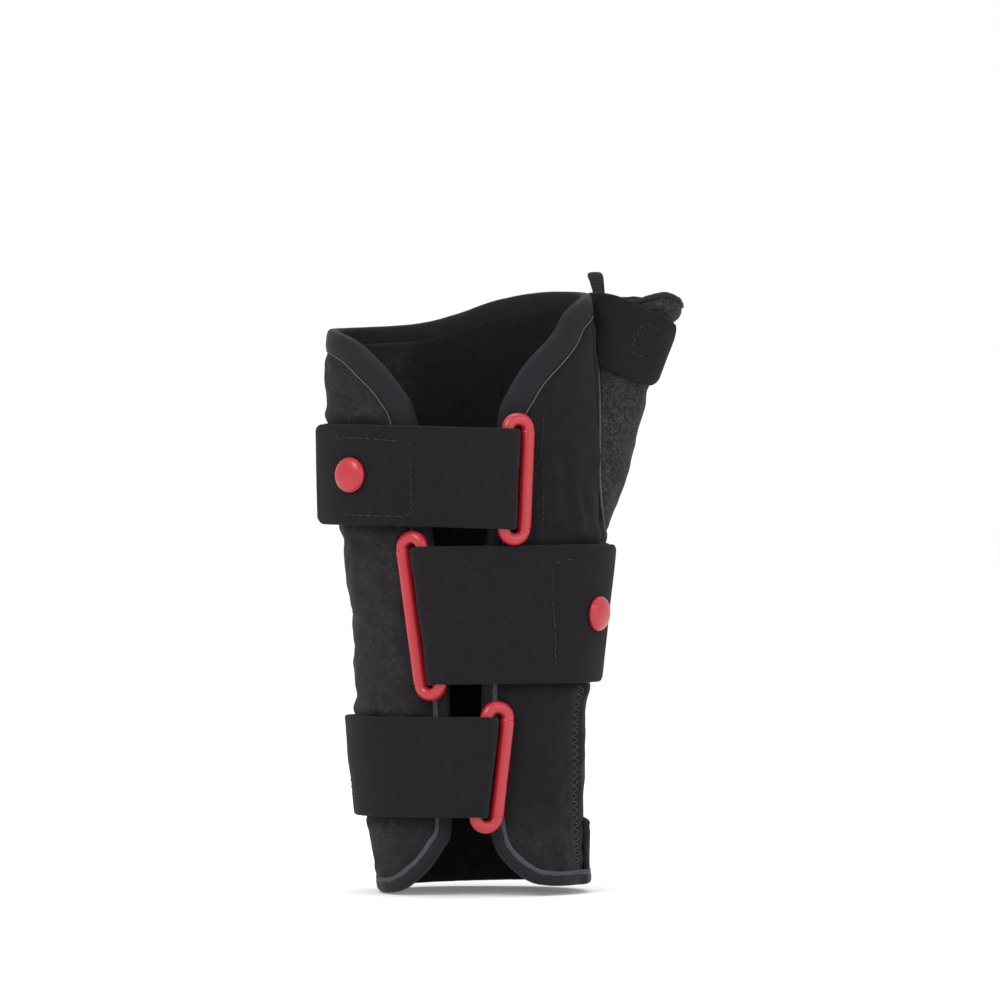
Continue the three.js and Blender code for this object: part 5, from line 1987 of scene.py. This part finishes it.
@dataclass
class ThumbSleeve(Assembly):
    """The thumb's speckled sleeve with its bound rim and its strap.

    Attributes:
        binding_width: of the tape round the rim.
        strap_width: of the thumb's strap.
        strap_corner: radius of its free end's corners.
        strap_spring: how far its free end stands off.
        sides: vertices round the sleeve.
        patch: the strap's stitching.
        swell: how its padding bulges.
    """

    binding_width: float = 2.0
    strap_width: float = 20.0
    strap_corner: float = 6.0
    strap_spring: float = 1.0
    sides: int = 168
    patch: Patch = Patch(((10.5, 5.9), (17.8, 5.7), (15.0, -3.0), (9.5, -2.9)), 2.0, 1.4)
    swell: Swell = field(init=False)

    def __post_init__(self) -> None:
        """Lets the padding swell."""
        self.swell = Swell.blown(THUMB, (14.0, 108.0), (60, 60), self.hold, most=0.5, pressure=2.0)

    def hold(self, angle: Array, z: Array) -> Array:
        """How firmly the sleeve's cloth is held: by its crease, its bound rim and its strap.

        Args:
            angle: degrees round the thumb.
            z: heights.

        Returns:
            From 0, loose, to 1, sewn down.
        """
        _, out = ARM.locate(THUMB.point(angle, z, WALL))
        at_crease = 1 - smoothstep(out, WALL + 0.5, WALL + 4)
        at_rim = smoothstep(z - rim_height(angle), -7, -3)
        turn = (angle + 210) % 360 - 210
        off = np.abs(z - thumb_strap_height(turn)) - self.strap_width / 2
        under = (1 - smoothstep(off, -1, 3)) * (1 - smoothstep(turn, 66, 84))
        return np.maximum.reduce([at_crease, at_rim, under])

    def flare(self, angle: Array, below: Array) -> Array:
        """How far the knit rolls out below the rim and is drawn in above the strap.

        A ridge near the rim less one further down, both strongest on the thumb's outer side.

        Args:
            angle: degrees round the thumb.
            below: millimetres below the rim.

        Returns:
            The lift to add.
        """
        outer_side = 0.35 + 0.65 * ridge(half_turn(np.asarray(angle) - 92), 55)
        return outer_side * (0.9 * ridge(below - 3.4, 2.8) - 1.3 * ridge(below - 9.6, 3.0))

    def crease(self, angle: Array, lift: float, arm_lift: float) -> Array:
        """The height at which the sleeve comes out of the arm's face.

        Heights are scanned from the bottom up. The last one still inside gives the crease.

        Args:
            angle: degrees round the thumb.
            lift: the sleeve's face.
            arm_lift: the arm's face.

        Returns:
            The height for each angle.
        """
        z = np.linspace(8.0, 104.0, 640)
        _, out = ARM.locate(THUMB.point(angle[:, None], z[None, :], lift))
        inside = out < arm_lift
        last = inside.shape[1] - 1 - np.argmax(inside[:, ::-1], axis=1)
        rough = z[np.where(inside.any(axis=1), last, 0)]
        kernel = np.array([1, 2, 3, 2, 1]) / 9
        padded = np.concatenate([rough[-2:], rough, rough[:2]])
        return np.convolve(padded, kernel, "valid")

    def welt(self) -> None:
        """Sews a thin light cord into the crease between the sleeve and the wrap."""
        angle = np.arange(self.sides * 4) * 90 / self.sides
        lift = WALL + 0.25
        wrapped = np.concatenate([self.crease(angle, lift, lift)] * 3)
        z = softened(wrapped, 6)[len(angle):2 * len(angle)]
        dense = THUMB.point(angle, z, lift)
        run = runs(dense)
        even = np.linspace(0, run[-1], 240)
        turn, height = np.interp(even, run, angle), np.interp(even, run, z)
        path = THUMB.point(turn, height, lift)
        up = THUMB.normal(turn, height)
        piece = sweep("thumb_crease_piping", path, up, circle(0.45, 10), closed=True)
        self.keep(piece, PIPING, Slot.BINDING)

    def sheath(self) -> None:
        """Builds the sleeve between its crease and its rim, with a lining that goes through the wrap.

        The lift adds waves, a dip at the crease and a roll of cloth below the rim's tape.
        """
        angle = np.arange(self.sides) * 360 / self.sides
        top = rim_height(angle) - self.binding_width + 1.0
        low = self.crease(angle, WALL, WALL) - 1.6
        deep = self.crease(angle, 0.0, 0.0) - 1.0
        share = np.linspace(0, 1, 92)[None, :]
        z = mix(low[:, None], top[:, None], share)
        turn = np.broadcast_to(angle[:, None], z.shape)
        from_rim, from_crease = top[:, None] - z, z - low[:, None]
        about = turn * THUMB_DEGREE
        wave = sum(waves(about, z) for waves in KNIT_WAVES)
        roll = self.flare(turn, rim_height(turn) - z) - 0.35 * ridge(from_rim, 1.6)
        dip = 0.8 * ridge(from_crease - 1.0, 1.8) - 0.35 * ridge(from_crease - 5.0, 2.6)
        free = smoothstep(from_rim, 0, 4) * smoothstep(from_crease, 1, 6)
        outer = THUMB.point(turn, z, WALL + (wave + self.swell(turn, z)) * free + roll - dip)
        inner_z = mix(deep[:, None], top[:, None], share)
        inner = THUMB.point(turn, inner_z, KNIT_LINING_WAVES(about, inner_z))
        uv = np.stack([about, z], axis=-1)
        piece = shell("thumb_sheath_cloth", outer, inner, uv, closed=True)
        self.keep(piece, KNIT, Slot.KNIT, "thumb_sheath")

    def rim(self) -> None:
        """Builds the tape folded round the rim, as a closed superellipse section."""
        over, rise = soft_square(28, 3.0)
        angle = np.arange(self.sides) * 360 / self.sides
        about = angle * THUMB_DEGREE
        pucker, top = RIM_PUCKERS.along(about)[:, None], rim_height(angle)[:, None]
        z = top - (1 - over)[None, :] / 2 * self.binding_width + 0.6 * pucker
        flared = self.flare(angle[:, None], top - z)
        tab = 1.3 * ridge(half_turn(angle + 90), 19)[:, None]
        thickness = WALL + BINDING_PROUD + 0.1 + pucker + tab
        lift = thickness * (0.5 + 0.5 * rise[None, :]) + flared
        rings = THUMB.point(angle[:, None], z, lift)
        piece = tube("thumb_rim_tape", rings, np.arange(len(over)) * TAPE_STEP, about, closed=True)
        self.keep(piece, TAPE, Slot.BINDING, "thumb_binding")

    def place(self, left: Array, across: Array, up: Array) -> Array:
        """Points of the thumb's strap.

        Args:
            left: millimetres from its free end.
            across: millimetres from its middle line.
            up: distance from its underside.

        Returns:
            The points.
        """
        fine, run = thumb_strap_runs()
        angle = np.interp(run[-1] - left, run, fine)
        middle = thumb_strap_height(angle)
        per_degree = THUMB.per_degree(angle, middle)
        near = np.clip(angle, fine[0] + 2, fine[-1] - 2)
        slant = mix(THUMB_STRAP_SLANT, 1, smoothstep(left, 0, self.strap_width))
        climb = thumb_strap_height(near + 2) - thumb_strap_height(near - 2)
        lean = np.arctan(climb / (4 * per_degree)) * slant
        z = middle + across * np.cos(lean)
        turn = angle - across * np.sin(lean) / per_degree
        rim = rim_height(turn) - self.binding_width
        over = BINDING_PROUD * smoothstep((z - rim) / self.binding_width, -5, -2)
        spring = self.strap_spring * (1 - smoothstep(left, 0, self.strap_width))
        return THUMB.point(turn, z, WALL + STRAP_CLEARANCE + over + spring + up)

    def strap(self) -> None:
        """Builds the thumb's strap as a soft band, cut off where it meets the wrap."""
        fine, run = thumb_strap_runs()
        left = np.concatenate([np.linspace(run[-1], 2.0, round(run[-1] / 0.9)), SOFT_RIM[::-1]])
        at = np.interp(run[-1] - left, run, fine)
        half = lookup(THUMB_STRAP_LINE, "angle", "width", at) * self.strap_width / 2
        half = half - corner_cut(left, self.strap_corner)
        over = spread(self.strap_width / 2, 0.9) / (self.strap_width / 2)
        across = half[:, None] * over[None, :]
        edge = np.minimum((1 - np.abs(over))[None, :] * half[:, None], left[:, None])
        thick = STRAP_THICKNESS / 2 * rounding(edge, STRAP_THICKNESS / 2)
        along = np.broadcast_to(left[:, None], across.shape)
        web = smoothstep(along, 34, 46) * (1 - smoothstep(along, 60, 74))
        gather = 0.35 * web * np.sin(across * 1.5 + 0.08 * along) * smoothstep(edge, 0.3, 1.6)
        groove = self.patch.distance(along, across)
        wave = THUMB_STRAP_WAVES(along, across) * smoothstep(edge, 0, 3) + gather
        lift = STRAP_THICKNESS / 2 + wave
        outer = self.place(along, across, lift + thick - 0.25 * ridge(groove, 0.6))
        inner = self.place(along, across, lift - thick)
        piece = shell("thumb_strap_cloth", outer, inner, np.stack([across, along], axis=-1))
        hollow([piece], "arm_room", ARM, 144, (0, 0.6, 90), WALL + 0.2)
        self.keep(piece, WEBBING, Slot.STRAP, "thumb_strap")
        starts, ends = self.patch.stitches()

        def surface(along: Array, across: Array, lift: Array) -> Array:
            """The strap's face."""
            return self.place(along, across, STRAP_THICKNESS - 0.2 + lift)

        piece = threads("thumb_strap_stitches", starts, ends, surface, 0.2)
        self.keep(piece, THREAD, Slot.STRAP)

    def build(self) -> None:
        """Builds all the sleeve's pieces."""
        self.sheath()
        self.welt()
        self.rim()
        self.strap()


@dataclass
class Studio:
    """A pale floor, soft light and the camera.

    Attributes:
        floor_z: the floor's height.
        floor_size: the length of its sides.
        distance: from the camera to the wrist.
        lens: the camera's focal length.
        aim: how far to the side and up the camera stands.
    """

    floor_z: float = -95.6
    floor_size: float = 60000.0
    distance: float = 2000.0
    lens: float = 220.0
    aim: tuple[float, float] = (9.75, 32.5)

    def build(self) -> None:
        """Sets up the floor, the world, the lights and the camera."""
        across, along = np.array([(-1, -1), (1, -1), (1, 1), (-1, 1)]).T * self.floor_size / 2
        corners = np.stack([across, along, np.full(4, self.floor_z)], axis=-1)
        mesh = bpy.data.meshes.new("floor")
        mesh.from_pydata((corners * METRES).tolist(), [], [(0, 1, 2, 3)])
        floor = bpy.data.objects.new("floor", mesh)
        bpy.context.scene.collection.objects.link(floor)
        shader = Shader("floor_paint")
        paint = shader.finish(Base_Color=(0.9, 0.9, 0.9, 1), Roughness=0.8, Specular_IOR_Level=0.0,
                              Emission_Color=(1, 1, 1, 1), Emission_Strength=0.1)
        mesh.materials.append(paint)
        floor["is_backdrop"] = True
        world = bpy.data.worlds.new("studio")
        bpy.context.scene.world = world
        bpy.context.scene.view_settings.view_transform = "Standard"
        world.use_nodes = True
        sky = world.node_tree.nodes["Background"].inputs
        sky["Color"].default_value, sky["Strength"].default_value = (1, 1, 1, 1), 1.0
        for name, place, power, width in (
            ("key", (-900, -1300, 1300), 16, 900),
            ("fill", (1200, -1100, 500), 5, 1100),
            ("top", (200, 300, 1500), 6, 1000),
        ):
            light = bpy.data.lights.new(name, "AREA")
            light.energy, light.size = power, width * METRES
            lamp = bpy.data.objects.new(name, light)
            lamp.location = [value * METRES for value in place]
            x, y, z = np.array(place) - np.array([10, 0, 10])
            lamp.rotation_euler = (math.atan2(math.hypot(x, y), z), 0, math.atan2(x, -y))
            bpy.context.scene.collection.objects.link(lamp)
        camera = bpy.data.cameras.new("camera")
        camera.lens, camera.sensor_width = self.lens, 36
        camera.clip_end = 100
        view = bpy.data.objects.new("camera", camera)
        view.location = (self.aim[0] * METRES, -self.distance * METRES, self.aim[1] * METRES)
        view.rotation_euler = (math.pi / 2, 0, 0)
        bpy.context.scene.collection.objects.link(view)
        bpy.context.scene.camera = view


def closures() -> list[Closure]:
    """The three straps from the hand down.

    Returns:
        The straps with their loops and rivets, not built yet.
    """
    upper = Patch(((8.3, 12.5), (28.6, 11.1), (30.5, 9.4), (30.5, -11.4), (28.6, -13.1), (11.7, -12.8)))
    middle = Patch(((19.3, 17.6), (22.6, 17.6), (25.4, 15.8), (26.1, 4.7), (25.7, -5.1), (26.2, -16.8)))
    lower = Patch(((8.3, 12.5), (30.5, 12.5), (30.5, -12.8), (8.3, -12.8)))
    return [
        Closure("upper", stacked=1, gap=0.65, width=NARROW_STRAP_WIDTH, loop_angle=32.7, lean=2.1,
                slope=-1.6, seat=0, side=Side.LITTLE_FINGER, end_angle=-79, root_angle=-108,
                rivet_angle=-53.5, spring=3.6, twist=0.4, patch=upper),
        Closure("middle", stacked=0, gap=0, width=WIDE_STRAP_WIDTH, loop_angle=-35.2, lean=-8.2,
                slope=1.2, seat=-0.3, side=Side.THUMB, end_angle=84, root_angle=112,
                rivet_angle=66, spring=0.7, twist=0, patch=middle),
        Closure("lower", stacked=-1, gap=4.7, width=NARROW_STRAP_WIDTH, loop_angle=16.4, lean=6.6,
                slope=0.1, seat=-0.3, side=Side.LITTLE_FINGER, end_angle=-138, root_angle=-160,
                rivet_angle=-117, spring=0.7, twist=0, patch=lower),
    ]


def main() -> None:
    """Builds the splint piece by piece and reports each one."""
    logging.basicConfig(level=logging.INFO, format="%(name)s: %(message)s")
    Studio().build()
    straps = closures()
    for part in (*straps, Wrap(straps), ThumbSleeve()):
        part.build()
        for piece in part.pieces:
            log.info("%s: %d faces", piece.name, len(piece.data.polygons))
    plain = lambda box: [[float(value) for value in corner] for corner in box]
    {"cad": plain(CAD_BOX), "visual": plain(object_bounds())}


if __name__ == "__main__":
    main()
